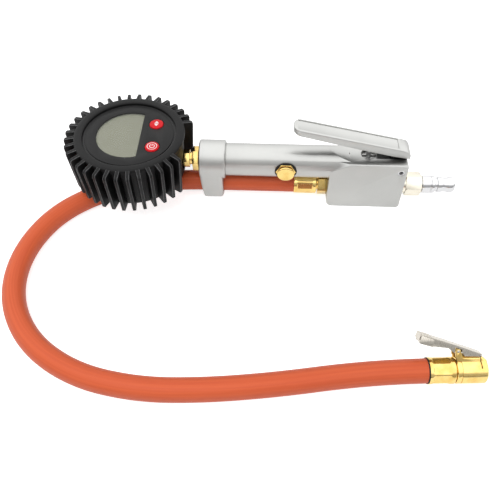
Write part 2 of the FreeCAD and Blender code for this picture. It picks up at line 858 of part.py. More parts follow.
def gauge_case():
    """The gauge's plastic case with its ledge, screw posts and the boss that takes the stem."""
    case_radius = size("boot_core") - size("boot_wall") - size("slip_gap")
    inner = case_radius - size("case_wall")
    low = size("boot_floor") + size("slip_gap") + size("cover_thickness")
    high = size("boot_depth") + size("lip_rise") - size("lip_thickness") - size("slip_gap")
    panel_low = size("boot_depth") - size("panel_thickness")
    ledge = panel_low - size("panel_thickness")
    board_top = panel_low - 0.2 - size("display_thickness")
    board_low = board_top - size("board_thickness")
    shell = turned(
        "case_shell",
        [
            (inner, low), (case_radius, low), (case_radius, high), (inner, high), (inner, panel_low),
            (inner - size("panel_ledge"), panel_low), (inner - size("panel_ledge"), ledge), (inner, ledge),
        ],
        gauge_place(0, 0, 0),
    )
    diagonal = size("post_circle") / math.sqrt(2.0)
    spots = [(diagonal * x, diagonal * y) for x in (-1, 1) for y in (-1, 1)]
    posts = [
        cylinder(f"post_{number}", size("post_radius"), board_low - low - 1.4, gauge_place(x, y, low + 1.4))
        for number, (x, y) in enumerate(spots)
    ]
    boss = box(
        "stem_boss", (size("boss_depth"), size("boss_width"), size("boss_width") - 3),
        gauge_place(inner + 0.5 - size("boss_depth"), -(size("boss_width") / 2), low + 1.4),
    )
    solid = fuse("case_solid", [shell, boss] + posts)
    holes = [
        cylinder(
            "case_stem_hole", size("stem_radius") + size("slip_gap"), size("boot_core"),
            (gauge_x + size("stem_inner_end"), 0, axis_z), "+X",
        )
    ]
    holes += [
        cylinder(f"post_hole_{number}", size("screw_shank"), board_low - low + 2, gauge_place(x, y, low - 1))
        for number, (x, y) in enumerate(spots)
    ]
    keep(cut("case", solid, holes), "gauge_case")

    cover_low = size("boot_floor") + size("slip_gap")
    cover = turned(
        "cover",
        [
            (0, cover_low), (case_radius, cover_low), (case_radius, low), (inner - 0.2, low),
            (inner - 0.2, low + 1.2), (inner - 1.2, low + 1.2), (inner - 1.2, low), (0, low),
        ],
        gauge_place(0, 0, 0),
    )
    cover_holes = []
    screws, board_screws = [], []
    head, shank = size("screw_head"), size("screw_shank")
    depth, reach, sink = size("screw_head_height"), size("screw_length"), size("screw_sink")
    for number, (x, y) in enumerate(spots):
        cover_holes.append(cylinder(f"cover_hole_{number}", shank, 6, gauge_place(x, y, cover_low - 1)))
        cover_holes.append(
            cylinder(f"cover_sink_{number}", head + 0.1, depth + 1, gauge_place(x, y, cover_low - 1))
        )
        screws.append(
            turned(
                f"cover_screw_{number}",
                [(0, sink), (head, sink), (head, depth), (shank, depth), (shank, reach), (0, reach)],
                gauge_place(x, y, cover_low),
            )
        )
        board_screws.append(
            turned(
                f"board_screw_{number}",
                [
                    (0, depth), (head, depth), (head, 0), (shank, 0), (shank, -size("board_screw_length")),
                    (0, -size("board_screw_length")),
                ],
                gauge_place(x, y, board_top),
            )
        )
    keep(cut("cover_drilled", cover, cover_holes), "gauge_back_cover")
    keep(group("cover_screws", screws), "back_cover_screws")
    keep(group("board_screw_set", board_screws), "board_screws")

    board = cylinder("board", size("board_radius"), size("board_thickness"), gauge_place(0, 0, board_low))
    board_holes = [
        cylinder(f"board_hole_{number}", shank, 4, gauge_place(x, y, board_low - 1))
        for number, (x, y) in enumerate(spots)
    ]
    keep(cut("board_drilled", board, board_holes), "circuit_board")

    def half_moon(name, radius, chord, thickness, z):
        """A disc with its side towards the stem cut straight."""
        disc = cylinder(name + "_disc", radius, thickness, gauge_place(0, 0, z))
        side = box(name + "_side", (radius, 2 * radius, thickness + 2), gauge_place(chord, -radius, z - 1))
        return cut(name, disc, [side])

    margin = size("display_margin")
    keep(
        half_moon(
            "display", size("window_radius") + margin, size("window_chord") + margin,
            size("display_thickness"), board_top,
        ),
        "lcd_display",
    )
    panel = cylinder("panel", inner - size("slip_gap"), size("panel_thickness"), gauge_place(0, 0, panel_low))
    window_hole = half_moon(
        "window_hole", size("window_radius"), size("window_chord"), size("panel_thickness") + 2, panel_low - 1
    )
    button_spots = {"power": (size("button_x"), -size("power_y")), "unit": (size("button_x"), size("unit_y"))}
    button_holes = [
        cylinder(
            f"{name}_hole", size("button_radius") + size("button_gap"), size("panel_thickness") + 2,
            gauge_place(x, y, panel_low - 1),
        )
        for name, (x, y) in button_spots.items()
    ]
    keep(cut("panel_cut", panel, [window_hole] + button_holes), "face_panel")
    fit = size("slip_gap")
    keep(
        half_moon(
            "window", size("window_radius") - fit, size("window_chord") - fit,
            size("window_thickness"), panel_low,
        ),
        "lcd_window",
    )
    switches = []
    flange_low = panel_low - 1.0
    flange_high = flange_low + size("button_flange_height")
    plunger, plunger_low = size("button_plunger"), flange_low - size("button_plunger_height")
    cap_radius, cap_top = size("button_radius"), size("boot_depth") + size("button_rise")
    bevel = size("button_bevel")
    for name, (x, y) in button_spots.items():
        button = turned(
            f"{name}_cap",
            [
                (0, plunger_low), (plunger, plunger_low), (plunger, flange_low),
                (size("button_flange"), flange_low), (size("button_flange"), flange_high),
                (cap_radius, flange_high), (cap_radius, cap_top - bevel), (cap_radius - bevel, cap_top),
                (0, cap_top),
            ],
            gauge_place(x, y, 0),
        )
        keep(button, f"{name}_button")
        side = size("switch_side")
        switches.append(
            box(
                f"{name}_switch", (side, side, size("switch_height")),
                gauge_place(x - side / 2, y - side / 2, board_top),
            )
        )
    keep(group("switch_pair", switches), "button_switches")

    batteries(low, board_low)
    stem_and_sensor(inner)


def batteries(low, board_low):
    """Two small cells side by side in a tray on the back cover, with their contacts and leads."""
    radius, wall = size("cell_radius"), size("tray_wall")
    half_length = size("cell_length") / 2 + size("contact_thickness")
    middle = -size("cell_offset")
    half_width = size("cell_spacing") / 2 + radius + 0.2
    floor = low + wall
    tray = box(
        "tray_block", (2 * (half_width + wall), 2 * (half_length + wall), radius + wall),
        gauge_place(middle - half_width - wall, -(half_length + wall), low),
    )
    well = box(
        "tray_well", (2 * half_width, 2 * half_length, radius + 2),
        gauge_place(middle - half_width, -half_length, floor),
    )
    keep(cut("tray", tray, [well]), "battery_tray")
    cells, contacts, leads = [], [], []
    centre_z = floor + radius + 0.1
    for number, side in enumerate((-1, 1)):
        x = middle + side * (size("cell_spacing") / 2)
        length = size("cell_length")
        cells.append(
            turned(
                f"cell_{number}",
                [
                    (0, 0), (radius, 0), (radius, length - 1), (2.4, length - 1), (2.4, length), (0, length),
                ],
                gauge_place(x, -(length / 2), centre_z), "+Y",
            )
        )
        plate_side = size("contact_side")
        for end, y in enumerate((-half_length, half_length - size("contact_thickness"))):
            contacts.append(
                box(
                    f"contact_{number}_{end}", (plate_side, size("contact_thickness"), plate_side),
                    gauge_place(x - plate_side / 2, y, centre_z - plate_side / 2),
                )
            )
        end_sign = side
        y = end_sign * (half_length - size("contact_thickness") / 2)
        top = centre_z + plate_side / 2
        leads.append(cylinder(f"lead_{number}", size("lead_radius"), board_low - top, gauge_place(x, y, top)))
    keep(group("cells", cells), "battery_cells")
    keep(group("contacts", contacts), "battery_contacts")
    keep(group("leads", leads), "battery_leads")


def stem_and_sensor(case_inner):
    """The brass stem through the case, its nut and sensor inside, and the seal outside."""
    hex_left = cap_x - size("stem_hex_start")
    hex_right = cap_x - size("stem_hex_end")
    connector_left = cap_x - size("washer_thickness") - size("connector_hex_length")
    inner_end = gauge_x + size("stem_inner_end")
    thread_end = cap_x + size("cap_wall") / 2
    radius, thread = size("stem_radius"), size("stem_thread")
    shaft = turned(
        "stem_shaft",
        [
            (0, 0), (radius, 0), (radius, hex_left - inner_end + 1), (thread, hex_left - inner_end + 1),
            (thread, thread_end - inner_end), (0, thread_end - inner_end),
        ],
        (inner_end, 0, axis_z), "+X",
    )
    nut = hexagon("stem_nut", size("stem_hex"), hex_right - hex_left, (hex_left, 0, axis_z), "+X", 15)
    bore = cylinder(
        "stem_air", size("stem_bore"), thread_end - inner_end + 2 * PAST, (inner_end - PAST, 0, axis_z), "+X"
    )
    keep(cut("stem", fuse("stem_solid", [shaft, nut]), [bore]), "gauge_stem")
    case_radius = case_inner + size("case_wall")
    gap = hex_left - gauge_x - case_radius
    keep(
        ring(
            "stem_ring", radius + gap / 2 + 0.15, gap / 2 - 0.02,
            (gauge_x + case_radius + gap / 2, 0, axis_z), "+X",
        ),
        "stem_seal",
    )
    boss_face = case_inner + 0.5 - size("boss_depth")
    nut_start = size("stem_inner_end") + 0.2
    clamp = hexagon(
        "clamp_nut", size("sensor_nut"), boss_face - nut_start, (gauge_x + nut_start, 0, axis_z), "+X", 30
    )
    clamp_bore = cylinder("clamp_bore", radius + 0.02, 8, (gauge_x + nut_start - 1, 0, axis_z), "+X")
    keep(cut("clamp", clamp, [clamp_bore]), "sensor_nut")
    keep(
        cylinder(
            "sensor", size("sensor_radius"), size("sensor_length"),
            (inner_end - size("sensor_length"), 0, axis_z), "+X",
        ),
        "pressure_sensor",
    )
    # connector between the gauge's stem and the barrel's cap
    shank_end = cap_x + size("connector_depth")
    body = turned(
        "connector_shank",
        [
            (0, 0), (size("connector_radius"), 0), (size("connector_radius"), shank_end - connector_left),
            (0, shank_end - connector_left),
        ],
        (connector_left, 0, axis_z), "+X",
    )
    hex_part = hexagon(
        "connector_nut", size("connector_hex"), size("connector_hex_length"),
        (connector_left, 0, axis_z), "+X", 15,
    )
    drills = [
        cylinder(
            "connector_socket", thread + 0.02, thread_end - connector_left + PAST,
            (connector_left - PAST, 0, axis_z), "+X",
        ),
        cylinder(
            "connector_air", size("air_hole"), shank_end - connector_left + PAST,
            (connector_left, 0, axis_z), "+X",
        ),
    ]
    keep(cut("connector", fuse("connector_solid", [body, hex_part]), drills), "gauge_connector")
    keep(
        tube(
            "connector_ring", size("connector_hex") / 2, size("connector_radius") + 0.05,
            size("washer_thickness"), (cap_x - size("washer_thickness"), 0, axis_z), "+X",
        ),
        "connector_washer",
    )


# Bleed valve on the near side of the barrel


def bleed_valve():
    """A brass bush with a sprung push button; its stem's head seals on the bush from inside the barrel."""
    spot = barrel_radius - size("bleed_spot_depth")
    inner_face = spot - size("bleed_shank_length")
    hex_back = spot + size("bleed_washer")
    hex_face = hex_back + size("bleed_hex_thickness")
    cap_back = hex_face + size("bleed_travel") + size("bleed_stop_gap")
    cap_face = cap_back + size("bleed_cap_thickness")
    centre = (cap_x + size("bleed_x"), 0, axis_z)
    stem = size("bleed_stem")
    well = inner_face + 2.8
    overlap = size("bleed_hex_thickness") / 2
    shank = turned(
        "bush_shank",
        [
            (0, inner_face), (size("bleed_shank"), inner_face), (size("bleed_shank"), hex_back + overlap),
            (0, hex_back + overlap),
        ],
        centre, "-Y",
    )
    head = hexagon(
        "bush_head", size("bleed_hex"), size("bleed_hex_thickness"), (centre[0], -hex_back, axis_z), "-Y", 0
    )
    bores = turned(
        "bush_bores",
        [
            (0, inner_face - 1), (stem + size("slip_gap"), inner_face - 1), (stem + size("slip_gap"), well),
            (stem * 2 + 0.2, well), (stem * 2 + 0.2, hex_face + 1), (0, hex_face + 1),
        ],
        centre, "-Y",
    )
    keep(cut("bush", fuse("bush_solid", [shank, head]), [bores]), "bleed_bush")
    keep(
        tube(
            "bush_washer", size("bleed_spot_radius") - size("slip_gap"), size("bleed_shank") + 0.05,
            size("bleed_washer"), (centre[0], -spot, axis_z), "-Y",
        ),
        "bleed_washer",
    )
    seal_face = inner_face - 0.05
    head_face = seal_face - size("bleed_seal_length")
    head_end = head_face - size("bleed_head_length")
    keep(
        turned(
            "poppet_pin",
            [
                (0, head_end), (size("bleed_head"), head_end), (size("bleed_head"), head_face),
                (stem, head_face), (stem, cap_back + 0.5), (0, cap_back + 0.5),
            ],
            centre, "-Y",
        ),
        "bleed_stem",
    )
    keep(
        turned(
            "bleed_ring",
            [
                (stem, head_face), (size("bleed_head"), head_face), (size("bleed_head"), seal_face),
                (stem, seal_face),
            ],
            centre, "-Y",
        ),
        "bleed_seal",
    )
    cap = size("bleed_cap")
    keep(
        turned(
            "push_cap",
            [
                (stem, cap_back), (cap, cap_back), (cap, cap_face - 0.5), (cap - 0.3, cap_face - 0.2),
                (cap - 0.9, cap_face), (0, cap_face), (0, cap_back + 0.5), (stem, cap_back + 0.5),
            ],
            centre, "-Y",
        ),
        "bleed_button",
    )
    wire = size("bleed_wire") / 2
    keep(coil("bleed_coil", stem + 0.2 + wire + 0.3, wire, well, cap_back, 3, centre, "-Y"), "bleed_spring")


# Main valve in the block


def main_valve():
    """From the bottom: plug and washer, spring, poppet with its seal, seat, stem, its seal and the gland."""
    recess, plug_radius = size("plug_recess"), size("plug_radius")
    shoulder = size("plug_depth") - size("washer_thickness")
    thread = size("chamber_radius") - 0.05
    thread_top = shoulder + size("plug_thread_length")
    well = recess + size("plug_hollow")
    wall = thread - 1.4
    plug = turned(
        "plug_screw",
        [
            (0, recess), (plug_radius - 0.3, recess), (plug_radius, recess + 0.3), (plug_radius, shoulder),
            (thread, shoulder), (thread, thread_top), (wall, thread_top), (wall, well), (0, well),
        ],
        (valve_at, 0, 0),
    )
    key = hexagon(
        "plug_key", size("plug_key"), size("plug_key_depth") + PAST, (valve_at, 0, recess - PAST), "+Z"
    )
    keep(cut("plug", plug, [key]), "valve_plug")
    keep(
        tube(
            "plug_ring", plug_radius, size("chamber_radius") + 0.05, size("washer_thickness"),
            (valve_at, 0, shoulder), "+Z",
        ),
        "plug_washer",
    )
    seat_z = size("seat_height")
    seal_low = seat_z - size("poppet_seal_length") - 0.05
    poppet_low = seal_low - size("poppet_length")
    boss, poppet = size("poppet_boss"), size("poppet_radius")
    stem_low = seat_z + 1.6
    keep(
        turned(
            "poppet",
            [
                (0, poppet_low), (poppet, poppet_low), (poppet, seal_low), (boss, seal_low), (boss, stem_low),
                (0, stem_low),
            ],
            (valve_at, 0, 0),
        ),
        "valve_poppet",
    )
    keep(
        tube("poppet_ring", poppet, boss, size("poppet_seal_length"), (valve_at, 0, seal_low), "+Z"),
        "poppet_seal",
    )
    keep(
        tube(
            "seat_ring", size("chamber_radius"), size("seat_bore"), size("seat_thickness"),
            (valve_at, 0, seat_z), "+Z",
        ),
        "valve_seat",
    )
    tip = lever_ceiling_at(size("valve_x")) - size("stem_tip_gap")
    radius = size("valve_stem")
    keep(
        turned(
            "stem_rod",
            [
                (0, stem_low), (radius, stem_low), (radius, tip - 0.6), (radius - 0.6, tip), (0, tip),
            ],
            (valve_at, 0, 0),
        ),
        "valve_stem",
    )
    gland_floor = block_top - size("gland_length")
    gland_top = block_top - size("gland_recess")
    gland = tube(
        "gland_ring", size("gland_radius"), radius + size("slip_gap"), gland_top - gland_floor,
        (valve_at, 0, gland_floor), "+Z",
    )
    slot_depth, slot_width = size("gland_slot_depth"), size("gland_slot_width")
    slot = box(
        "gland_slot", (2 * size("gland_radius"), slot_width, slot_depth + PAST),
        (valve_at - size("gland_radius"), -(slot_width / 2), gland_top - slot_depth),
    )
    keep(cut("gland", gland, [slot]), "stem_gland")
    wire = size("seal_wire")
    keep(
        ring("gland_ring_seal", radius + wire + 0.1, wire, (valve_at, 0, gland_floor - wire), "+Z"),
        "stem_oring",
    )
    coil_wire = size("valve_wire") / 2
    spring = coil(
        "valve_coil_wire", size("valve_coil"), coil_wire, well, poppet_low, 5, (valve_at, 0, 0), "+Z"
    )
    keep(spring, "valve_spring")


# Lever on top


def lever_top_at(reach):
    """Height of the lever's top face at a distance along the barrel from the cap."""
    slope = math.tan(math.radians(SIZES["lever_slope"]))
    return axis_z + size("lever_tip_height") - (reach - size("lever_left")) * slope


def lever_ceiling_at(reach):
    """Height of the inside of the lever's channel there."""
    return lever_top_at(reach) - size("lever_ceiling") / math.cos(math.radians(SIZES["lever_slope"]))


def lever_and_pin():
    """The cast lever: a channel that closes at its heel, a tang in the block's slot, and a recessed top."""
    left, knee = size("lever_left"), size("lever_knee")
    heel = block_right_reach + size("lever_nose")
    pivot_reach = block_right_reach - size("pivot_from_end")
    floor = block_top + size("lever_heel_clearance")
    bend = heel - size("tang_reach")
    outer = plate(
        "lever_block",
        [
            (cap_x + left, lever_top_at(left) - size("lever_tip_thickness")),
            (cap_x + knee, lever_top_at(knee) - size("lever_knee_depth")),
            (cap_x + pivot_reach - size("tang_reach"), block_top + size("lever_waist_clearance")),
            (cap_x + heel, floor), (cap_x + heel, block_top + size("lever_heel_side")),
            (cap_x + heel - size("lever_heel_slant"), block_top + size("lever_heel_top")),
            (cap_x + bend, lever_top_at(bend)),
            (cap_x + left, lever_top_at(left)),
        ],
        "XZ_Plane", size("lever_width"),
    )
    soften(
        outer, "PartDesign::Fillet", "lever_tip_round", size("lever_tip_corner"),
        lambda edge: edge.BoundBox.XLength < 1e-4 and edge.BoundBox.YLength < 1e-4
        and near(edge.BoundBox.XMin, cap_x + left),
    )
    top_left = value_of(lever_top_at(left))

    def top_edge(edge):
        """An edge of the sloping top face, apart from the one at its low end."""
        slope = math.tan(math.radians(SIZES["lever_slope"]))
        if near(edge.BoundBox.XMin, cap_x + bend):
            return False
        heights = [top_left - (vertex.X - value_of(cap_x + left)) * slope for vertex in edge.Vertexes]
        return all(abs(vertex.Z - height) < 1e-3 for vertex, height in zip(edge.Vertexes, heights))

    soften(outer, "PartDesign::Fillet", "lever_top_round", size("lever_edge"), top_edge)
    channel_left, channel_right = left + 10, pivot_reach - 2.8
    channel = plate(
        "lever_channel",
        [
            (cap_x + channel_left, lever_ceiling_at(channel_left)), (cap_x + channel_left, axis_z),
            (cap_x + channel_right, axis_z), (cap_x + channel_right, lever_ceiling_at(channel_right)),
        ],
        "XZ_Plane", size("lever_width") - 2 * size("lever_wall"),
    )
    tang_radius, reach = size("tang_radius"), size("tang_reach")
    tang = plate(
        "lever_tang",
        [
            (pivot_x - tang_radius, pivot_z), (pivot_x + tang_radius, pivot_z),
            (pivot_x + tang_radius, floor + 1),
            (pivot_x - reach, lever_ceiling_at(pivot_reach - reach) + 1), (pivot_x - reach + 1, floor + 1),
        ],
        "XZ_Plane", size("tang_width"),
    )
    knuckle = cylinder(
        "lever_knuckle", tang_radius, size("tang_width"), (pivot_x, -(size("tang_width") / 2), pivot_z), "+Y"
    )
    slope_turn = Rotation(Vector(0, 1, 0), SIZES["lever_slope"])
    rim = size("panel_rim")
    recess_left = left + size("panel_end") - rim
    slab = box(
        "lever_recess",
        (
            (bend - recess_left - rim) / math.cos(math.radians(SIZES["lever_slope"])),
            size("lever_width") - 2 * rim, 3,
        ),
        (
            cap_x + recess_left, -(size("lever_width") / 2 - rim),
            lever_top_at(recess_left) - size("panel_recess") / math.cos(math.radians(SIZES["lever_slope"])),
        ),
        slope_turn,
    )
    hole = cylinder(
        "lever_pin_hole", size("pin_radius") + size("pin_clearance"), size("lever_width"),
        (pivot_x, -(size("lever_width") / 2), pivot_z), "+Y",
    )
    body = cut("lever_hollow", outer, [channel, slab])
    solid = fuse("lever_solid", [body, tang, knuckle])
    keep(cut("lever_drilled", solid, [hole]), "trigger_lever")
    keep(
        tube(
            "pin_sleeve", size("pin_radius"), size("pin_bore"), size("block_width") - 0.4,
            (pivot_x, -half_block + 0.2, pivot_z), "+Y",
        ),
        "lever_pin",
    )


# Inlet on the block's end


def inlet():
    """Adapter, its washer, a filter disc and the quick-connect plug."""
    washer = size("washer_thickness")
    neck_end = block_right + size("inlet_neck")
    hex_end = neck_end + size("inlet_hex_length")
    start = block_right - size("inlet_thread_length")
    thread, wide = size("inlet_thread"), size("inlet_neck_radius")
    shank = turned(
        "adapter_shank",
        [
            (0, 0), (thread, 0), (thread, block_right + washer - start), (wide, block_right + washer - start),
            (wide, neck_end + 1 - start), (0, neck_end + 1 - start),
        ],
        (start, 0, inlet_z), "+X",
    )
    hex_length = size("inlet_hex_length")
    nut = hexagon("adapter_nut", size("inlet_hex"), hex_length, (neck_end, 0, inlet_z), "+X", 15)
    chamfer_r = size("inlet_hex") / math.sqrt(3.0)
    bevel = size("inlet_bevel")
    rounding = turned(
        "adapter_rounding",
        [
            (0, 0), (chamfer_r - bevel, 0), (chamfer_r, bevel * 0.6), (chamfer_r, hex_length - bevel * 0.6),
            (chamfer_r - bevel, hex_length), (0, hex_length),
        ],
        (neck_end, 0, inlet_z), "+X",
    )
    chamfered = doc.addObject("Part::Common", "adapter_hex")
    chamfered.Base = nut
    chamfered.Tool = rounding
    socket_start = neck_end + 0.6
    drills = [
        cylinder("adapter_air", size("nipple_bore"), hex_end - start + 2, (start - 1, 0, inlet_z), "+X"),
        cylinder("adapter_socket", thread, hex_end - socket_start + 1, (socket_start, 0, inlet_z), "+X"),
    ]
    keep(cut("adapter", fuse("adapter_solid", [shank, chamfered]), drills), "inlet_adapter")
    ring_outer = wide + size("inlet_washer_edge")
    ring_seal = tube("adapter_ring", ring_outer, thread + 0.05, washer, (block_right, 0, inlet_z), "+X")
    keep(ring_seal, "inlet_washer")
    thick = size("filter_thickness")
    disc = cylinder("mesh_disc", thread - size("slip_gap"), thick, (socket_start, 0, inlet_z), "+X")
    keep(disc, "inlet_filter")
    shoulder, nose = size("nipple_shoulder"), size("nipple_nose")
    waist, groove = size("nipple_waist"), size("nipple_groove")
    length, bore = size("nipple_length"), size("nipple_bore")
    edge, line = size("nipple_edge"), size("nipple_line")
    foot = socket_start + thick - hex_end
    keep(
        turned(
            "nipple",
            [
                (bore, foot), (thread - 0.05, foot), (thread - 0.05, 0.9), (shoulder - edge, 0.9),
                (shoulder, 0.9 + edge), (shoulder, 6.7 - edge), (shoulder - line, 6.7),
                (shoulder - line, 7.2), (shoulder, 7.2 + edge), (shoulder, 9.6 - edge),
                (shoulder - edge, 9.6), (groove, 9.6),
                (groove, 11.2), (nose, 11.5), (nose, 14.2), (waist, 15.8), (waist, 17.4), (nose, 18.8),
                (nose, length - 1.6), (nose - 0.9, length), (bore, length),
            ],
            (hex_end, 0, inlet_z), "+X",
        ),
        "inlet_plug",
    )


# Hose, its route and its fittings

# The route's inner corners in millimetres. The hose leaves the valve block to the left, runs straight through
# the cap's lug, comes down onto the surface under the gauge, and swings round to the chuck at the front.

HOSE_CORNERS = [
    (-13.0, 0.0, 11.3),
    (-66.0, 0.0, 11.0),
    (-105.0, -7.0, 7.6),
    (-136.5, -28.5, 6.85),
    (-153.0, -61.5, 6.85),
    (-152.0, -96.5, 6.85),
    (-133.5, -127.0, 6.85),
    (-102.5, -147.0, 6.85),
    (-66.5, -154.5, 6.85),
    (-31.5, -153.8, 6.85),
    (8.0, -149.2, 6.85),
    (47.5, -142.2, 6.85),
    (81.2, -138.65, 7.35),
]

ferrule_outer = hose_radius + size("ferrule_wall")
fitting_hex_start = block_left - size("fitting_hex_length")
ferrule_end = fitting_hex_start - size("ferrule_gap")
hose_start = ferrule_end - size("ferrule_lip")
chuck_end = (cap_x + size("chuck_x"), size("chuck_y"), ferrule_outer)
CHUCK_ROLL = Rotation(Vector(1, 0, 0), -SIZES["chuck_roll"])
CHUCK_TURN = Rotation(Vector(0, 0, 1), SIZES["chuck_yaw"]).multiply(CHUCK_ROLL)
chuck_face = size("chuck_ferrule") + size("chuck_neck_length")
spigot_bore = size("hose_bore") / 2 - 3 * size("barb_height")


def on_chuck(piece):
    """Takes a piece that is built round the chuck's own axis to its place."""
    local, turn = places.get(piece.Name, ((0, 0, 0), Rotation()))
    ways = [CHUCK_TURN.multVec(Vector(*way)) for way in ((1, 0, 0), (0, 1, 0), (0, 0, 1))]
    at = []
    for index, start in enumerate(chuck_end):
        at.append(start + local[0] * ways[0][index] + local[1] * ways[1][index] + local[2] * ways[2][index])
    return put(piece, at, CHUCK_TURN.multiply(turn))


def along_route(corners):
    """Straight runs joined by tangent arcs, each as large as its two runs allow."""
    edges = []
    here = corners[0]
    radii = []
    for before, corner, after in zip(corners, corners[1:], corners[2:]):
        into, out = (corner - before), (after - corner)
        reach = 0.45 * min(into.Length, out.Length)
        turn = into.getAngle(out)
        radii.append(reach / math.tan(turn / 2))
        into.normalize()
        out.normalize()
        arc_start, arc_end = corner - into * reach, corner + out * reach
        inward = out - into
        inward.normalize()
        middle = corner + inward * (radii[-1] / math.cos(turn / 2) - radii[-1])
        edges.append(Part.LineSegment(here, arc_start).toShape())
        edges.append(Part.Arc(arc_start, middle, arc_end).toShape())
        here = arc_end
    edges.append(Part.LineSegment(here, corners[-1]).toShape())
    print("hose radii:", ", ".join(f"{radius:.0f}" for radius in radii))
    return Part.Wire(edges)


def hose():
    """The rubber tube along its route."""
    last = on_chuck_point(size("chuck_ferrule") - size("ferrule_lip"))
    first = Vector(value_of(hose_start), 0, value_of(hose_z))
    corners = [first] + [Vector(*corner) for corner in HOSE_CORNERS] + [last]
    route = along_route(corners)
    heading = corners[1] - corners[0]
    solids = []
    for radius in (value_of(hose_radius), SIZES["hose_bore"] / 2):
        circle = Part.Wire(Part.makeCircle(radius, first, heading))
        solids.append(route.makePipeShell([circle], True, False))
    thing = doc.addObject("Part::Feature", "hose_tube")
    thing.Shape = solids[0].cut(solids[1])
    thing.Placement = Placement()
    area = math.pi * (value_of(hose_radius) ** 2 - (SIZES["hose_bore"] / 2) ** 2)
    print(f"hose volume {thing.Shape.Volume:.0f}, section times length {area * route.Length:.0f}")
    print(f"hose length {route.Length:.1f}")
    keep(thing, "hose")


def on_chuck_point(along):
    """A point on the chuck's own axis."""
    lead = CHUCK_TURN.multVec(Vector(value_of(along), 0, 0))
    return Vector(*[value_of(number) for number in chuck_end]) + lead


def barbs(length):
    """The outline of a barbed spigot from its tip: each barb rises away from the tip and drops."""
    bore, lift, pitch = size("hose_bore") / 2, size("barb_height"), size("barb_pitch")
    points = [(bore - 2 * lift, 0)]
    for number in range(int(value_of(length / pitch))):
        peak = (number + 0.8) * pitch
        points += [(bore, peak), (bore - lift, peak + 0.2)]
    return points + [(bore - lift, length)]


def crimped(name, length, lip_bore, at, axis):
    """A sleeve crimped on the hose, closed at its far end by a lip."""
    outer, lip, groove = ferrule_outer, size("ferrule_lip"), size("ferrule_wall") / 3
    points = [(hose_radius, 0), (outer - groove, 0), (outer, groove)]
    for number in (1, 2, 3):
        centre = length * (number / 4)
        points += [
            (outer, centre - 0.8), (outer - groove, centre - 0.5), (outer - groove, centre + 0.5),
            (outer, centre + 0.8),
        ]
    points += [(outer, length - 0.8), (outer - 0.8, length), (lip_bore, length), (lip_bore, length - lip)]
    points += [(hose_radius, length - lip)]
    return turned(name, points, at, axis)


def hose_fitting():
    """The hex fitting in the block's left face with its barbed spigot in the hose, and the crimped sleeve."""
    neck, port = size("fitting_neck"), size("port_radius")
    spigot = size("barb_length")
    tip = hose_start - spigot
    hex_at = fitting_hex_start - tip
    face = block_left - tip
    shank = turned(
        "fitting_shank",
        [(0, 0)] + barbs(spigot) + [
            (neck, spigot), (neck, hex_at + 1), (port, hex_at + 1), (port, face + size("port_depth") - 1),
            (0, face + size("port_depth") - 1),
        ],
        (tip, 0, hose_z), "+X",
    )
    nut = hexagon(
        "fitting_nut", size("fitting_hex"), size("fitting_hex_length"),
        (fitting_hex_start, 0, hose_z), "+X", 30,
    )
    drill = cylinder(
        "fitting_air", spigot_bore, face + size("port_depth") + PAST, (tip - PAST, 0, hose_z), "+X"
    )
    keep(cut("fitting", fuse("fitting_solid", [shank, nut]), [drill]), "hose_fitting")
    keep(
        crimped(
            "block_sleeve", size("ferrule_length"), neck,
            (ferrule_end - size("ferrule_length"), 0, hose_z), "+X",
        ),
        "hose_ferrule",
    )


# Chuck, built along its own axis from the hose's end; its clip side is up before it is put in place


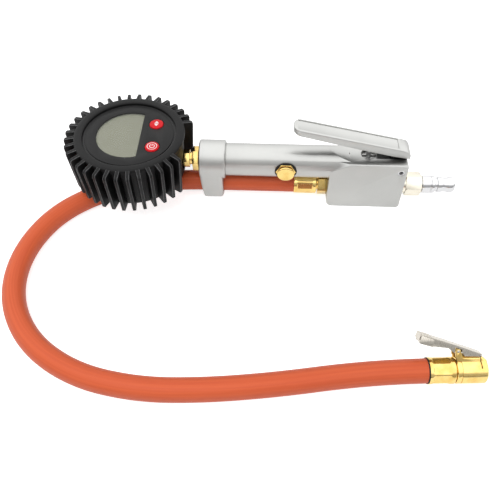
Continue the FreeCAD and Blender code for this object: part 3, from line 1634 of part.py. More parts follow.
def chuck():
    """Sleeve, barbed stem, head with ridge and ears, seal and the fixed pin that opens a tyre valve."""
    origin = (0, 0, 0)
    neck, face, end = size("chuck_neck"), chuck_face, size("chuck_length")
    sleeve = crimped("chuck_sleeve", size("chuck_ferrule"), neck, origin, "+X")
    keep(on_chuck(sleeve), "chuck_ferrule")

    spigot_start = size("stem_tip_inset")
    hose_stop = size("chuck_ferrule") - size("ferrule_lip")
    thread = size("chuck_thread")
    thread_end = face + size("chuck_thread_length")
    points = [(radius, along + spigot_start) for radius, along in barbs(hose_stop - spigot_start)]
    stem = turned(
        "chuck_spigot",
        [(0, spigot_start)] + points
        + [(neck, hose_stop), (neck, face), (thread, face), (thread, thread_end), (0, thread_end)],
        origin, "+X",
    )
    drill = cylinder("chuck_air", spigot_bore, end, (-PAST, 0, 0), "+X")
    keep(on_chuck(cut("chuck_stem_bored", stem, [drill])), "chuck_stem")

    radius, groove = size("chuck_radius"), size("chuck_groove")
    collar_end = face + size("chuck_collar")
    bevel = size("chuck_bevel")
    head = turned(
        "chuck_head",
        [
            (0, face), (radius - groove, face), (radius, face + groove), (radius, collar_end),
            (radius - groove, collar_end), (radius - groove, collar_end + groove),
            (radius, collar_end + groove), (radius, end - bevel), (radius - bevel, end), (0, end),
        ],
        origin, "+X",
    )
    pin_a, pin_u = size("clip_along"), size("clip_height")
    jaw_end = pin_a + size("jaw_length")
    half_ridge, top = size("ridge_width") / 2, size("ridge_height")
    knuckle_radius = size("clip_pin") + size("clip_knuckle")
    ridge_start = pin_a + knuckle_radius + size("ridge_gap")
    ridge = plate(
        "chuck_ridge",
        [
            (ridge_start, 0), (end, 0), (end, radius - bevel), (jaw_end, size("ridge_end_height")),
            (ridge_start, top),
        ],
        "XZ_Plane", size("ridge_width"),
    )
    soften(
        ridge, "PartDesign::Chamfer", "ridge_corners", size("ridge_corner"),
        lambda edge: edge.BoundBox.YLength < 1e-4 and edge.BoundBox.ZMin > value_of(radius - bevel) - 1e-3
        and edge.BoundBox.XLength > 1,
    )
    ear, thick = size("ear_radius"), size("ear_thickness")
    ear_low = ferrule_outer + size("ear_base")
    ears = []
    for side, y in (("near", -half_ridge), ("far", half_ridge - thick)):
        leaf = plate(
            f"ear_leaf_{side}",
            [
                (pin_a - ear, pin_u), (pin_a - ear, ear_low), (face + 0.01, ear_low),
                (face + 0.01, neck + 0.6),
                (face + size("ear_run"), neck + 0.6), (face + size("ear_run"), top - size("ear_shoulder")),
                (pin_a + ear, pin_u),
            ],
            "XZ_Plane", thick, centred=False,
        )
        put(leaf, (0, y + thick, 0))
        boss = cylinder(f"ear_boss_{side}", ear, thick, (pin_a, y, pin_u), "+Y")
        ears += [leaf, boss]
    solid = fuse("chuck_head_solid", [head, ridge] + ears)
    tooth = size("clip_thickness") / 2
    hook = jaw_end - tooth
    slot_low = hook - tooth - size("hook_clearance")
    slot_high = hook + tooth + size("hook_swing")
    half_tooth = size("tooth_width") / 2 + size("hook_clearance")
    mouth = end - size("chuck_mouth_depth")
    holes = [
        cylinder("chuck_socket", thread, thread_end - face + PAST, (face - PAST, 0, 0), "+X"),
        cylinder("chuck_passage", size("air_hole"), end - face, (face, 0, 0), "+X"),
        cylinder(
            "chuck_mouth_bore", size("chuck_mouth"), size("chuck_mouth_depth") + PAST, (mouth, 0, 0), "+X"
        ),
        box(
            "hook_slot", (slot_high - slot_low, 2 * half_tooth, top),
            (slot_low, -half_tooth, size("hook_floor")),
        ),
        cylinder(
            "ear_pin_hole", size("clip_pin"), size("ridge_width") + 2 * PAST,
            (pin_a, -half_ridge - PAST, pin_u), "+Y",
        ),
    ]
    keep(on_chuck(cut("chuck_head_cut", solid, holes)), "chuck_body")

    fit = size("chuck_mouth") - 0.05
    plate_end = mouth + size("depressor_plate")
    disc = turned(
        "depressor",
        [
            (0, mouth), (fit, mouth), (fit, plate_end), (size("depressor_radius"), plate_end),
            (size("depressor_radius"), plate_end + size("depressor_length") - 0.4),
            (size("depressor_radius") - 0.4, plate_end + size("depressor_length")),
            (0, plate_end + size("depressor_length")),
        ],
        origin, "+X",
    )
    vents = []
    for number in range(3):
        angle = math.radians(120 * number)
        reach = (size("depressor_radius") + size("seal_bore")) / 2
        vents.append(
            cylinder(
                f"depressor_vent_{number}", size("vent_radius"), size("depressor_plate") + 2 * PAST,
                (mouth - PAST, reach * math.cos(angle), reach * math.sin(angle)), "+X",
            )
        )
    keep(on_chuck(cut("depressor_vented", disc, vents)), "chuck_depressor")
    seal = tube("mouth_ring", fit, size("seal_bore"), size("chuck_seal_length"), (plate_end, 0, 0), "+X")
    keep(on_chuck(seal), "chuck_seal")
    clip_parts(pin_a, pin_u, half_ridge, ridge_start)


def clip_parts(pin_a, pin_u, half_ridge, ridge_start):
    """The pressed steel clip with its tooth and flanges, its pin, and the torsion spring between the ears."""
    thick, gap = size("clip_thickness"), size("clip_gap")
    jaw_end = pin_a + size("jaw_length")
    surface = [
        (pin_a - size("handle_reach"), pin_u + size("handle_rise")),
        (pin_a, pin_u + size("bend_rise")),
        (jaw_end, size("ridge_end_height") + gap + thick * 1.06),
    ]
    outer = [Vector(value_of(a), 0, value_of(u)) for a, u in surface]
    inner = []
    for index, point in enumerate(outer):
        ways = []
        for first, second in ((index - 1, index), (index, index + 1)):
            if 0 <= first and second < len(outer):
                way = outer[second] - outer[first]
                way.normalize()
                ways.append(Vector(way.z, 0, -way.x))
        mean = ways[0] + ways[-1]
        mean.normalize()
        inner.append(point + mean * (thick.value / mean.dot(ways[0])))
    corners = [(point.x, point.z) for point in outer + inner[::-1]]
    sheet_body = plate("clip_sheet", corners, "XZ_Plane", size("clip_width"))
    soften(
        sheet_body, "PartDesign::Fillet", "end_corners", size("jaw_corner"),
        lambda edge: edge.BoundBox.YLength < 1e-4
        and (edge.BoundBox.XMin > inner[-1].x - 1e-3 or edge.BoundBox.XMax < outer[0].x + 1e-3),
    )
    parts = [sheet_body]
    wall = size("clip_flange")
    flange_end = value_of(pin_a) - SIZES["ear_radius"] - SIZES["flange_gap"]
    tall, waist = SIZES["flange_height"], SIZES["flange_waist"]

    def under(reach):
        """The middle of the sheet at a place along the clip."""
        first = 0 if reach < outer[1].x else 1
        slope = (outer[first].z - outer[first + 1].z) / (outer[first + 1].x - outer[first].x)
        return outer[first].z - (reach - outer[first].x) * slope - thick.value / 2

    def above_ridge(reach):
        """The clip's gap over the ridge's sloping top there."""
        high, low = SIZES["ridge_height"], SIZES["ridge_end_height"]
        share = (reach - value_of(ridge_start)) / value_of(jaw_end - ridge_start)
        return high + (low - high) * share + gap.value

    start = outer[0].x + SIZES["jaw_corner"]
    deep, narrow = start + tall, flange_end - 0.8 * tall
    handle_side = [
        (start, under(start)), (start, under(start) - 0.3 * tall), (deep, under(deep) - tall),
        (narrow, under(narrow) - waist), (flange_end, value_of(pin_u) - 1), (flange_end, under(flange_end)),
    ]
    jaw_from = value_of(pin_a) + SIZES["jaw_flange_start"]
    jaw_top = jaw_from - SIZES["jaw_flange_lean"]
    jaw_to = value_of(jaw_end) - SIZES["jaw_corner"]
    jaw_side = [
        (jaw_top, above_ridge(jaw_from) + SIZES["jaw_flange_rise"]), (jaw_from, above_ridge(jaw_from)),
        (jaw_to, above_ridge(jaw_to)), (jaw_to, under(jaw_to)), (jaw_top, under(jaw_top)),
    ]
    half = size("clip_width") / 2
    for side, y in (("near", -half + wall), ("far", half)):
        for name, points in (("flange", handle_side), ("jaw_flange", jaw_side)):
            flange = plate(f"{name}_{side}", points, "XZ_Plane", wall, centred=False)
            parts.append(put(flange, (0, y, 0)))
    knuckle = size("clip_knuckle")
    tab_y = half_ridge - size("ear_thickness") - size("clip_gap")
    round_ = size("clip_pin") + knuckle
    tab_top = pin_u + size("bend_rise") - thick * 0.7
    for side, y in (("near", -tab_y + knuckle), ("far", tab_y)):
        tab = plate(
            f"tab_{side}",
            [
                (pin_a - round_, pin_u), (pin_a + round_, pin_u),
                (pin_a + round_, pin_u + size("tab_shoulder")), (pin_a, tab_top), (pin_a - round_, tab_top),
            ],
            "XZ_Plane", knuckle, centred=False,
        )
        parts.append(put(tab, (0, y, 0)))
        parts.append(cylinder(f"tab_round_{side}", round_, knuckle, (pin_a, y - knuckle, pin_u), "+Y"))
    tooth, tip = size("tooth_width"), size("hook_tip")
    tooth_top = size("ridge_end_height") + gap + thick / 2
    parts.append(box("clip_tooth", (thick, tooth, tooth_top - tip), (jaw_end - thick, -(tooth / 2), tip)))
    hole = cylinder(
        "clip_hole", size("clip_pin") + size("pin_clearance"), size("clip_width"), (pin_a, -half, pin_u), "+Y"
    )
    keep(on_chuck(cut("clip_drilled", fuse("clip_solid", parts), [hole])), "chuck_clip")
    head = size("clip_pin_head")
    pin = cylinder(
        "clip_rod", size("clip_pin"), size("ridge_width") + 2 * head, (pin_a, -half_ridge - head, pin_u), "+Y"
    )
    keep(on_chuck(pin), "clip_pin")
    wire = size("clip_wire") / 2
    space = tab_y - knuckle - size("slip_gap")
    mean = size("clip_pin") + size("spring_fit") + wire
    winding = coil("clip_coil", mean, wire, -space, space, 3, (pin_a, 0, pin_u), "+Y")
    legs = []
    for name, y, side, aim in (
        ("leg", -(space - wire), -1, Vector(-0.35, 0, 1)), ("foot", space - wire, 1, Vector(0, 0, -1)),
    ):
        leg = doc.addObject("Part::Cylinder", f"spring_{name}_wire")
        leg.Radius = value_of(wire)
        leg.Height = SIZES[f"spring_{name}"]
        start = Vector(value_of(pin_a) + side * value_of(mean), value_of(y), value_of(pin_u))
        leg.Placement = Placement(start, Rotation(Vector(0, 0, 1), aim))
        legs.append(leg)
    keep(on_chuck(fuse("clip_spring_wound", [winding] + legs)), "clip_spring")


# Build, check and write


def main():
    valve_body()
    end_cap()
    gauge_boot()
    gauge_case()
    bleed_valve()
    main_valve()
    lever_and_pin()
    inlet()
    hose_fitting()
    hose()
    chuck()
    doc.recompute()
    failed = [thing.Name for thing in doc.Objects if "Invalid" in thing.State or "Error" in thing.State]
    if failed:
        raise RuntimeError("failed: " + ", ".join(failed))
    for piece in pieces:
        if piece.Shape.isNull() or not piece.Shape.isValid():
            raise RuntimeError(f"{piece.Label} has no valid shape")
    os.makedirs("parts", exist_ok=True)
    for piece in pieces:
        piece.Shape.exportStep(f"parts/{piece.Label}.step")
        solids = len(piece.Shape.Solids)
        print(f"{piece.Label}: {solids} solids, {piece.Shape.Volume:.0f} mm3")


main()
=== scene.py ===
import json
import math

import bmesh
import bpy
from bpy.props import (
    BoolProperty, CollectionProperty, FloatProperty, FloatVectorProperty, IntProperty, PointerProperty,
)
from bpy.types import Operator, Panel, PropertyGroup
from mathutils import Matrix, Vector


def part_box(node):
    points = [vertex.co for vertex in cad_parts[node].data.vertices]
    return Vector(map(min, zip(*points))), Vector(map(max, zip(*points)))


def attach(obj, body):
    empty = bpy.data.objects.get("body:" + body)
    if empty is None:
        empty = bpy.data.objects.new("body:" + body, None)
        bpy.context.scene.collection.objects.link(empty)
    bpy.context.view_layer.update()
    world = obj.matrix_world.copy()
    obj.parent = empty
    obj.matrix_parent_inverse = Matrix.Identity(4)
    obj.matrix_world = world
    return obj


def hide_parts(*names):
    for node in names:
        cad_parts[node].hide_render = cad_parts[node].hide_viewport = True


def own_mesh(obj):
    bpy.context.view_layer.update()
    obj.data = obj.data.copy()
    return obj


bl_info = {
    "name": "Tire inflator",
    "version": (1, 0, 0),
    "blender": (4, 5, 0),
    "location": "3D view > Sidebar > Inflator",
    "description": "Dresses a tire inflator's solids: castings, ribbed gauge, brass fittings, hose and chuck",
    "category": "Object",
}

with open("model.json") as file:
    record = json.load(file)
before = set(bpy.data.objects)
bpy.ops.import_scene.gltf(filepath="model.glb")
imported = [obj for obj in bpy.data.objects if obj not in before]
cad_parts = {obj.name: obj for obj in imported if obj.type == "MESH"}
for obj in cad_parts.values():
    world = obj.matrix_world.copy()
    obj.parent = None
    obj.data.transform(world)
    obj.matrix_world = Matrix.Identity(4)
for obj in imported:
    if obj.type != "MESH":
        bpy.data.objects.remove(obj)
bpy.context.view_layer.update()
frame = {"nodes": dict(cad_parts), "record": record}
RECORD = frame["record"]
BODY_OF = {node: body for body, nodes in RECORD["behaviour"]["bodies"].items() for node in nodes}
SLOT_OF = {part["node"]: part["material_slot"] for part in RECORD["subparts"]}
MM = 0.001
MERGE_DISTANCE = 0.000004
SMOOTH_BELOW = math.radians(32)
# Face attribute that marks where the boot's painted edge highlight goes
EDGE_HIGHLIGHT = "rubbed"

# Where the painted shade lies, in metres: inside the lever's channel, and a dark slot painted on the block's
# top where only shade falls

CHANNEL_START = 0.0255
CHANNEL_HALF_WIDTH = 0.00385
PAINTED_SLOT_START = 0.0700
PAINTED_SLOT_HALF_WIDTH = 0.0040
BLOCK_TOP = 0.0382

# Gauge's centre in metres, and in millimetres the boot's height, its opening for the stem and the buttons

GAUGE_CENTRE = Vector((-87.8, 0.0, 20.9)) * MM
BOOT_HEIGHT = 30.8
STEM_OPENING, STEM_OPENING_RADIUS, STEM_OPENING_DEPTH = Vector((-54.5, 0.0, 30.9)), 7.0, 12
BUTTON_X = -71.7
MARK_BOTTOM, MARK_TOP = 50.75, 50.85

# A rib's root in millimetres: its radius, half its width there, and what that loses in the next 10

RIB_ROOT, RIB_ROOT_HALF_WIDTH, RIB_TAPER = 32, 1.4, 0.4

# Hose, in metres: the sleeve at the block, the chuck's end with its axes, and the route

FITTING_FERRULE_START = Vector((19.2, 0.0, 11.3)) * MM
CHUCK_END = Vector((90.7, -138.15, 7.35)) * MM
CHUCK_TURN = Matrix.Rotation(math.radians(3), 4, "Z") @ Matrix.Rotation(math.radians(-43), 4, "X")
CHUCK_PLACE = Matrix.Translation(CHUCK_END) @ CHUCK_TURN
HOSE_ROUTE = [
    Vector(corner) * MM
    for corner in (
        (33.7, 0.0, 11.3), (-13.0, 0.0, 11.3), (-66.0, 0.0, 11.0), (-105.0, -7.0, 7.6), (-136.5, -28.5, 6.85),
        (-151.8, -61.5, 6.85), (-150.8, -96.5, 6.85), (-133.0, -127.0, 6.85), (-102.5, -147.0, 6.85),
        (-66.5, -154.5, 6.85), (-31.5, -153.8, 6.85), (8.0, -149.2, 6.85), (47.5, -142.2, 6.85),
        (81.2, -138.65, 7.35), (104.082, -137.449, 7.35),
    )
]

# Moulded ridge's place round the hose, and the sleeves' radius and their gap to the hose in millimetres

HOSE_RIDGE_ANGLE, HOSE_RIDGE_HALF_ANGLE = math.radians(118), math.radians(7)
SLEEVE_RADIUS, SLEEVE_GAP = 7.35, 0.02

# Clip and chuck in millimetres along and above the chuck's axis: the handle's end, its ridges and a slit

CLIP_FLANGE = [(-4.5, 21.0), (-5.7, 17.4), (-5.6, 16.7), (-5.0, 16.3), (1.8, 14.35), (2.4, 18.5)]
CLIP_END_WALL = [(-4.5, 21.0), (-5.65, 17.4), (-5.55, 16.75), (-4.4, 16.9), (-3.2, 20.6)]
CLIP_PLATES = ((-3.84, -2.8, CLIP_FLANGE), (2.8, 3.84, CLIP_FLANGE), (-3.7, 3.7, CLIP_END_WALL))
FIRST_RIDGE, LAST_RIDGE = Vector((-4.8, 0.0, 21.69)), Vector((0.5, 0.0, 19.86))
RIDGE_WIDTH, RIDGE_ACROSS, RIDGE_TOP, RIDGE_BOTTOM = 0.14, 7.76, 0.1, -3.6
SLIT_MIDDLE, SLIT_SIZE = Vector((27.75, -6.0, 6.4)), Vector((0.6, 8.0, 6.8))

# Rounding along the edges of the small and thin solids, in metres

FINE_EDGES = {
    "face_panel": 0.00018, "lcd_window": 0.00012, "power_button": 0.0003, "unit_button": 0.0003,
    "inlet_plug": 0.00018, "chuck_clip": 0.0002, "clip_pin": 0.00015,
}

# Stage: the floor's drop, the air's level, lamps as place, width, depth and watts, and the camera

FLOOR_DROP = 0.0002
AIR_LEVEL = 0.32
LAMP_AIM = Vector((0.0, -0.06, 0.0))
LAMPS = {
    "key_lamp": (Vector((-0.3, -0.28, 0.95)), 1.0, 0.6, 8.8),
    "fill_lamp": (Vector((0.7, -0.55, 0.6)), 0.6, 0.6, 1.8),
}
CAMERA_PLACE, CAMERA_AIM = Vector((-0.00032, -0.29334, 0.3045)), Vector((-0.00884, -0.05179, 0.0))
CAMERA_LENS, CAMERA_SENSOR = 43.2, 36.0


# Sizes and colours that a user would change


def length(name, description, default, smallest=0.0, largest=1.0):
    return FloatProperty(
        name=name, description=description, default=default, min=smallest, max=largest,
        subtype="DISTANCE", unit="LENGTH", precision=5,
    )


def turning(name, description, degrees):
    return FloatProperty(
        name=name, description=description, default=math.radians(degrees), subtype="ANGLE", unit="ROTATION",
    )


def number(name, description, default, smallest, largest):
    return IntProperty(name=name, description=description, default=default, min=smallest, max=largest)


def colour(name, description, default):
    return FloatVectorProperty(
        name=name, description=description, default=default, size=3, min=0.0, max=1.0, subtype="COLOR",
    )


class InflatorSizes(PropertyGroup):
    """Sizes of the pieces that are made here."""

    rib_count: number("Ribs", "Ribs round the gauge's boot", 32, 3, 120)
    rib_spacing: turning("Rib spacing", "Angle from one rib of the boot to the next", 9.9)
    first_rib: turning("First rib", "Angle of the first rib from the brass stem", 20)
    rib_edge: length("Rib edge", "Rounding along the edges of a rib", 0.00035)
    cast_edge: length("Cast edge", "Rounding along the edges of the castings", 0.00055)
    brass_edge: length("Brass edge", "Rounding along the edges of the machined brass", 0.00022)
    hose_diameter: length("Hose diameter", "Outer diameter of the hose", 0.0137)
    hose_ridge: length("Hose ridge", "Height of the fine moulded ridge along the hose", 0.00012)
    crimp_depth: length("Crimp depth", "How deep the crimping dies press the sleeves", 0.00042)
    crimp_flats: number("Crimp flats", "Flats round a crimped sleeve", 8, 4, 16)
    grip_ridges: number("Grip ridges", "Ridges on the clip's handle", 7, 1, 20)


class InflatorColours(PropertyGroup):
    """Base colours of the finishes."""

    cast: colour("Cast metal", "Satin silver of the barrel, cap and lever", (0.480, 0.482, 0.468))
    brass: colour("Brass", "Polished brass of the fittings", (0.85, 0.63, 0.235))
    nickel: colour("Nickel", "Plated inlet adapter", (0.84, 0.81, 0.73))
    clip: colour("Clip", "Warm plated steel of the chuck's clip", (0.64, 0.60, 0.53))
    steel: colour("Steel", "Plug, pins and screws", (0.72, 0.72, 0.73))
    hose: colour("Hose", "Terracotta rubber of the hose", (0.60, 0.094, 0.030))
    boot: colour("Boot", "Black rubber round the gauge", (0.0042, 0.0042, 0.0043))
    panel: colour("Panel", "Dark plate round the display", (0.0065, 0.0065, 0.0066))
    display: colour("Display", "Blank liquid crystal display", (0.175, 0.178, 0.112))
    button: colour("Button", "Red of the two push buttons", (0.60, 0.010, 0.016))


# Node trees: one wrapped output that takes part in sums, and one call that adds a node


def socket_of(sockets, key):
    """A node's socket by index or name; of several with one name, the one in use."""
    if isinstance(key, int):
        return sockets[key]
    named = [socket for socket in sockets if socket.name == key and socket.enabled]
    return named[0] if named else sockets[key]


def add_node(tree, kind, settings=None, inputs=None):
    """Adds a node, its settings first and then its inputs, and returns its first output in use."""
    made = tree.nodes.new(kind)
    for name, value in (settings or {}).items():
        setattr(made, name, value)
    for key, value in (inputs or {}).items():
        if isinstance(value, Signal):
            tree.links.new(value.socket, socket_of(made.inputs, key))
        else:
            socket_of(made.inputs, key).default_value = value
    outputs = [socket for socket in made.outputs if socket.enabled]
    return Signal(tree, outputs[0]) if outputs else made


class Signal:
    """An output of a node that numbers and other outputs can be added to, multiplied by and so on."""

    def __init__(self, tree, socket):
        self.tree = tree
        self.socket = socket

    def node(self, kind, settings=None, inputs=None):
        return add_node(self.tree, kind, settings, inputs)

    def out(self, name):
        """Another output of the same node."""
        return Signal(self.tree, socket_of(self.socket.node.outputs, name))

    def maths(self, operation, *numbers):
        return self.node("ShaderNodeMath", {"operation": operation}, dict(enumerate(numbers)))

    def __add__(self, other):
        return self.maths("ADD", self, other)

    def __radd__(self, other):
        return self.maths("ADD", other, self)

    def __sub__(self, other):
        return self.maths("SUBTRACT", self, other)

    def __rsub__(self, other):
        return self.maths("SUBTRACT", other, self)

    def __mul__(self, other):
        return self.maths("MULTIPLY", self, other)

    def __rmul__(self, other):
        return self.maths("MULTIPLY", other, self)

    def between(self, low, high, start=0.0, end=1.0):
        """Rises smoothly from start to end as this goes from low to high."""
        inputs = {"Value": self, "From Min": low, "From Max": high, "To Min": start, "To Max": end}
        return self.node("ShaderNodeMapRange", {"interpolation_type": "SMOOTHSTEP"}, inputs)

    def choose(self, first, second):
        """The first colour where this is 0, the second where it is 1."""
        return self.node("ShaderNodeMix", {"data_type": "RGBA"}, {0: self, 6: first, 7: second})


def opaque(rgb, factor=1.0):
    """A colour for a socket, made lighter or darker by a factor."""
    return (*[min(1.0, part * factor) for part in rgb], 1.0)


class Finish:
    """A surface: constants on the shader's own sockets, and what varies over the surface linked to it."""

    def __init__(self, name, constants):
        self.material = bpy.data.materials.new(name)
        self.material.use_nodes = True
        self.tree = self.material.node_tree
        self.shader = self.tree.nodes["Principled BSDF"]
        for socket, value in constants.items():
            self.shader.inputs[socket].default_value = value
        self.place = add_node(self.tree, "ShaderNodeTexCoord").out("Object")

    def stretched(self, stretch):
        """The place on the object, with each axis scaled."""
        return self.place.node("ShaderNodeMapping", None, {"Vector": self.place, "Scale": stretch})

    def axes(self):
        """The place on the object along X, Y and Z."""
        parts = self.place.node("ShaderNodeSeparateXYZ", None, {0: self.place})
        return parts, parts.out("Y"), parts.out("Z")

    def grain(self, scale, detail=3.0, roughness=0.55, stretch=None):
        """Soft noise of about 0 to 1 with so many lumps to a metre."""
        where = self.stretched(stretch) if stretch else self.place
        inputs = {"Vector": where, "Scale": scale, "Detail": detail, "Roughness": roughness}
        return self.place.node("ShaderNodeTexNoise", {"noise_dimensions": "3D"}, inputs)

    def vary(self, socket, signal):
        self.tree.links.new(signal.socket, self.shader.inputs[socket])
        return self

    def bump(self, height, depth):
        """Raises the surface by a height of 0 to 1, which stands for so many metres."""
        relief = height.node("ShaderNodeBump", None, {"Height": height, "Distance": depth, "Strength": 1.0})
        return self.vary("Normal", relief)


def tones():
    return bpy.context.scene.inflator_colours


def cast_metal():
    """Tumbled and lacquered die casting: fine grain, cloudy sheen, and painted shade, dark and rougher,
    inside the lever's channel and as a painted slot on the block's top.
    """
    shade = tones().cast
    skin = Finish("cast_metal", {"Metallic": 1.0})
    cloud = skin.grain(55.0, 3.0)
    grain = skin.grain(1900.0, 2.0)
    bright = cloud.between(0.3, 0.7).choose(opaque(shade, 0.965), opaque(shade, 1.02))
    x, y, z = skin.axes()
    facing_up = skin.place.node("ShaderNodeSeparateXYZ", None, {0: skin.place.out("Normal")}).out("Z")
    aside = y.maths("ABSOLUTE", y)
    above_block = z.between(BLOCK_TOP + 0.0001, BLOCK_TOP + 0.0004)
    within_channel = 1 - aside.between(CHANNEL_HALF_WIDTH, CHANNEL_HALF_WIDTH + 0.0001)
    # Painted shade: the lever's faces that look down inside its channel are darkened
    in_channel = above_block * (1 - facing_up.between(0.3, 0.5)) * within_channel
    # Painted shade: a dark slot is painted on the block's top under the lever, where only shade falls
    on_block = z.between(BLOCK_TOP - 0.0002, BLOCK_TOP - 0.00005)
    on_block *= 1 - z.between(BLOCK_TOP + 0.0001, BLOCK_TOP + 0.0003)
    across_painted_slot = 1 - aside.between(PAINTED_SLOT_HALF_WIDTH, PAINTED_SLOT_HALF_WIDTH + 0.0005)
    painted_slot_shade = on_block * across_painted_slot * x.between(PAINTED_SLOT_START, PAINTED_SLOT_START + 0.002)
    # Both painted shades take the colour down to a tenth and make it rougher
    painted_shade = in_channel.maths("MAXIMUM", in_channel, painted_slot_shade) * x.between(CHANNEL_START, CHANNEL_START + 0.0007)
    skin.vary("Base Color", painted_shade.choose(bright, opaque(shade, 0.10)))
    skin.vary("Roughness", 0.34 + 0.08 * cloud + 0.05 * grain + 0.2 * painted_shade)
    return skin.bump(grain * 0.7 + skin.grain(420.0) * 0.3, 0.00003).material


def brass():
    """Turned brass: warm, bright, with fine tool lines and a little tarnish."""
    shade = tones().brass
    skin = Finish("brass", {"Metallic": 1.0})
    cloud = skin.grain(160.0, 4.0)
    lines = skin.grain(1.0, 2.0, 0.5, (9000.0, 300.0, 300.0))
    tarnish = opaque((shade[0], shade[1] * 0.9, shade[2] * 0.7), 0.86)
    skin.vary("Base Color", cloud.between(0.35, 0.75).choose(opaque(shade), tarnish))
    skin.vary("Roughness", 0.11 + 0.10 * cloud + 0.05 * lines)
    return skin.bump(lines, 0.000012).material


def nickel():
    """Warm nickel plate with faint wiping marks."""
    shade = tones().nickel
    skin = Finish("nickel_plate", {"Metallic": 1.0})
    cloud = skin.grain(180.0, 4.0)
    wiped = opaque((shade[0], shade[1] * 0.95, shade[2] * 0.84), 0.94)
    skin.vary("Base Color", cloud.choose(opaque(shade), wiped))
    skin.vary("Roughness", 0.17 + 0.14 * cloud)
    return skin.bump(skin.grain(1400.0, 2.0), 0.00001).material


def bright_steel(name, roughness, shade):
    """Plated steel with fine turning lines."""
    skin = Finish(name, {"Metallic": 1.0})
    lines = skin.grain(1.0, 2.0, 0.5, (7000.0, 300.0, 300.0))
    cloud = skin.grain(240.0, 3.0)
    skin.vary("Base Color", cloud.choose(opaque(shade), opaque(shade, 0.9)))
    skin.vary("Roughness", roughness + 0.09 * lines + 0.06 * cloud)
    return skin.bump(lines, 0.000008).material


def hose_rubber():
    """Extruded terracotta rubber: streaks along its length, a satin skin and faint scuffs."""
    shade = tones().hose
    skin = Finish("hose_rubber", {"IOR": 1.5, "Specular IOR Level": 0.4})
    round_and_along = add_node(skin.tree, "ShaderNodeTexCoord").out("UV")
    stretch = {"Vector": round_and_along, "Scale": (1.2, 26.0, 1.0)}
    streak_place = skin.place.node("ShaderNodeMapping", None, stretch)
    noise = {"Vector": streak_place, "Scale": 1.0, "Detail": 4.0}
    streaks = skin.place.node("ShaderNodeTexNoise", None, noise)
    cloud = skin.grain(38.0, 3.0)
    scuffs = skin.grain(700.0, 4.0, 0.7)
    lighter = opaque((shade[0], shade[1] * 1.12, shade[2] * 1.15), 1.04)
    warm = streaks.between(0.3, 0.7).choose(opaque(shade, 0.94), lighter)
    dusty = (scuffs.between(0.6, 0.8) * 0.08 + cloud * 0.03).choose(warm, (0.62, 0.20, 0.13, 1.0))
    skin.vary("Base Color", dusty)
    skin.vary("Roughness", 0.36 + 0.12 * streaks + 0.1 * scuffs)
    return skin.bump(scuffs * 0.5 + streaks * 0.5, 0.00004).material


def boot_rubber():
    """Moulded black rubber with a fine grain and a dusty bloom, with a painted highlight along the ribs'
    rounded edges.
    """
    shade = tones().boot
    skin = Finish("boot_rubber", {"IOR": 1.5, "Specular IOR Level": 0.18})
    cloud = skin.grain(90.0, 4.0)
    grain = skin.grain(2600.0, 2.0)
    rubber = cloud.between(0.35, 0.8).choose(opaque(shade), opaque(shade, 1.6))
    # Painted highlight: the faces of the ribs' rounded edges are made much paler, broken up by noise
    edge = add_node(skin.tree, "ShaderNodeAttribute", {"attribute_name": EDGE_HIGHLIGHT}).out("Fac")
    painted_edge_highlight = edge * skin.grain(260.0, 4.0).between(0.3, 0.65, 0.4, 1.0)
    skin.vary("Base Color", painted_edge_highlight.choose(rubber, opaque(shade, 26.0)))
    skin.vary("Roughness", 0.34 + 0.2 * cloud + 0.08 * grain)
    return skin.bump(grain * 0.6 + skin.grain(500.0) * 0.4, 0.00005).material


def moulded(name, rgb, roughness, grain_depth=0.00002, rise=1.25, gloss=0.5):
    """Moulded plastic or fibre with a fine spark-eroded grain."""
    skin = Finish(name, {"IOR": 1.48, "Specular IOR Level": gloss})
    cloud = skin.grain(130.0, 3.0)
    grain = skin.grain(2400.0, 2.0)
    skin.vary("Base Color", cloud.choose(opaque(rgb), opaque(rgb, rise)))
    skin.vary("Roughness", roughness + 0.1 * grain)
    return skin.bump(grain, grain_depth).material


def display_glass():
    """The display's polariser: a flat grey green, a touch lighter towards its middle."""
    shade = tones().display
    skin = Finish("display", {"IOR": 1.5})
    mottle = skin.grain(60.0, 2.0)
    skin.vary("Base Color", mottle.between(0.2, 0.8).choose(opaque(shade, 0.96), opaque(shade, 1.04)))
    skin.vary("Roughness", 0.38 + 0.1 * skin.grain(900.0, 2.0))
    return skin.material


def clear_window():
    """The window's clear plastic, see-through apart from its gloss."""
    skin = Finish("window", {"Base Color": (0.62, 0.64, 0.58, 1.0), "IOR": 1.49})
    haze = skin.grain(300.0, 3.0)
    skin.vary("Roughness", 0.08 + 0.08 * haze)
    skin.vary("Alpha", 0.10 + 0.04 * haze)
    return skin.material


def circuit_green():
    """Solder mask with copper tracks showing through as a paler net."""
    skin = Finish("circuit_board", {"IOR": 1.5})
    nearness = {"feature": "DISTANCE_TO_EDGE"}
    tracks = skin.place.node("ShaderNodeTexVoronoi", nearness, {"Vector": skin.place, "Scale": 420.0})
    copper, mask = (0.06, 0.26, 0.10, 1.0), (0.012, 0.10, 0.035, 1.0)
    skin.vary("Base Color", tracks.between(0.03, 0.08).choose(copper, mask))
    skin.vary("Roughness", 0.3 + 0.1 * skin.grain(400.0))
    return skin.bump(1.0 - tracks.between(0.03, 0.08), 0.00004).material


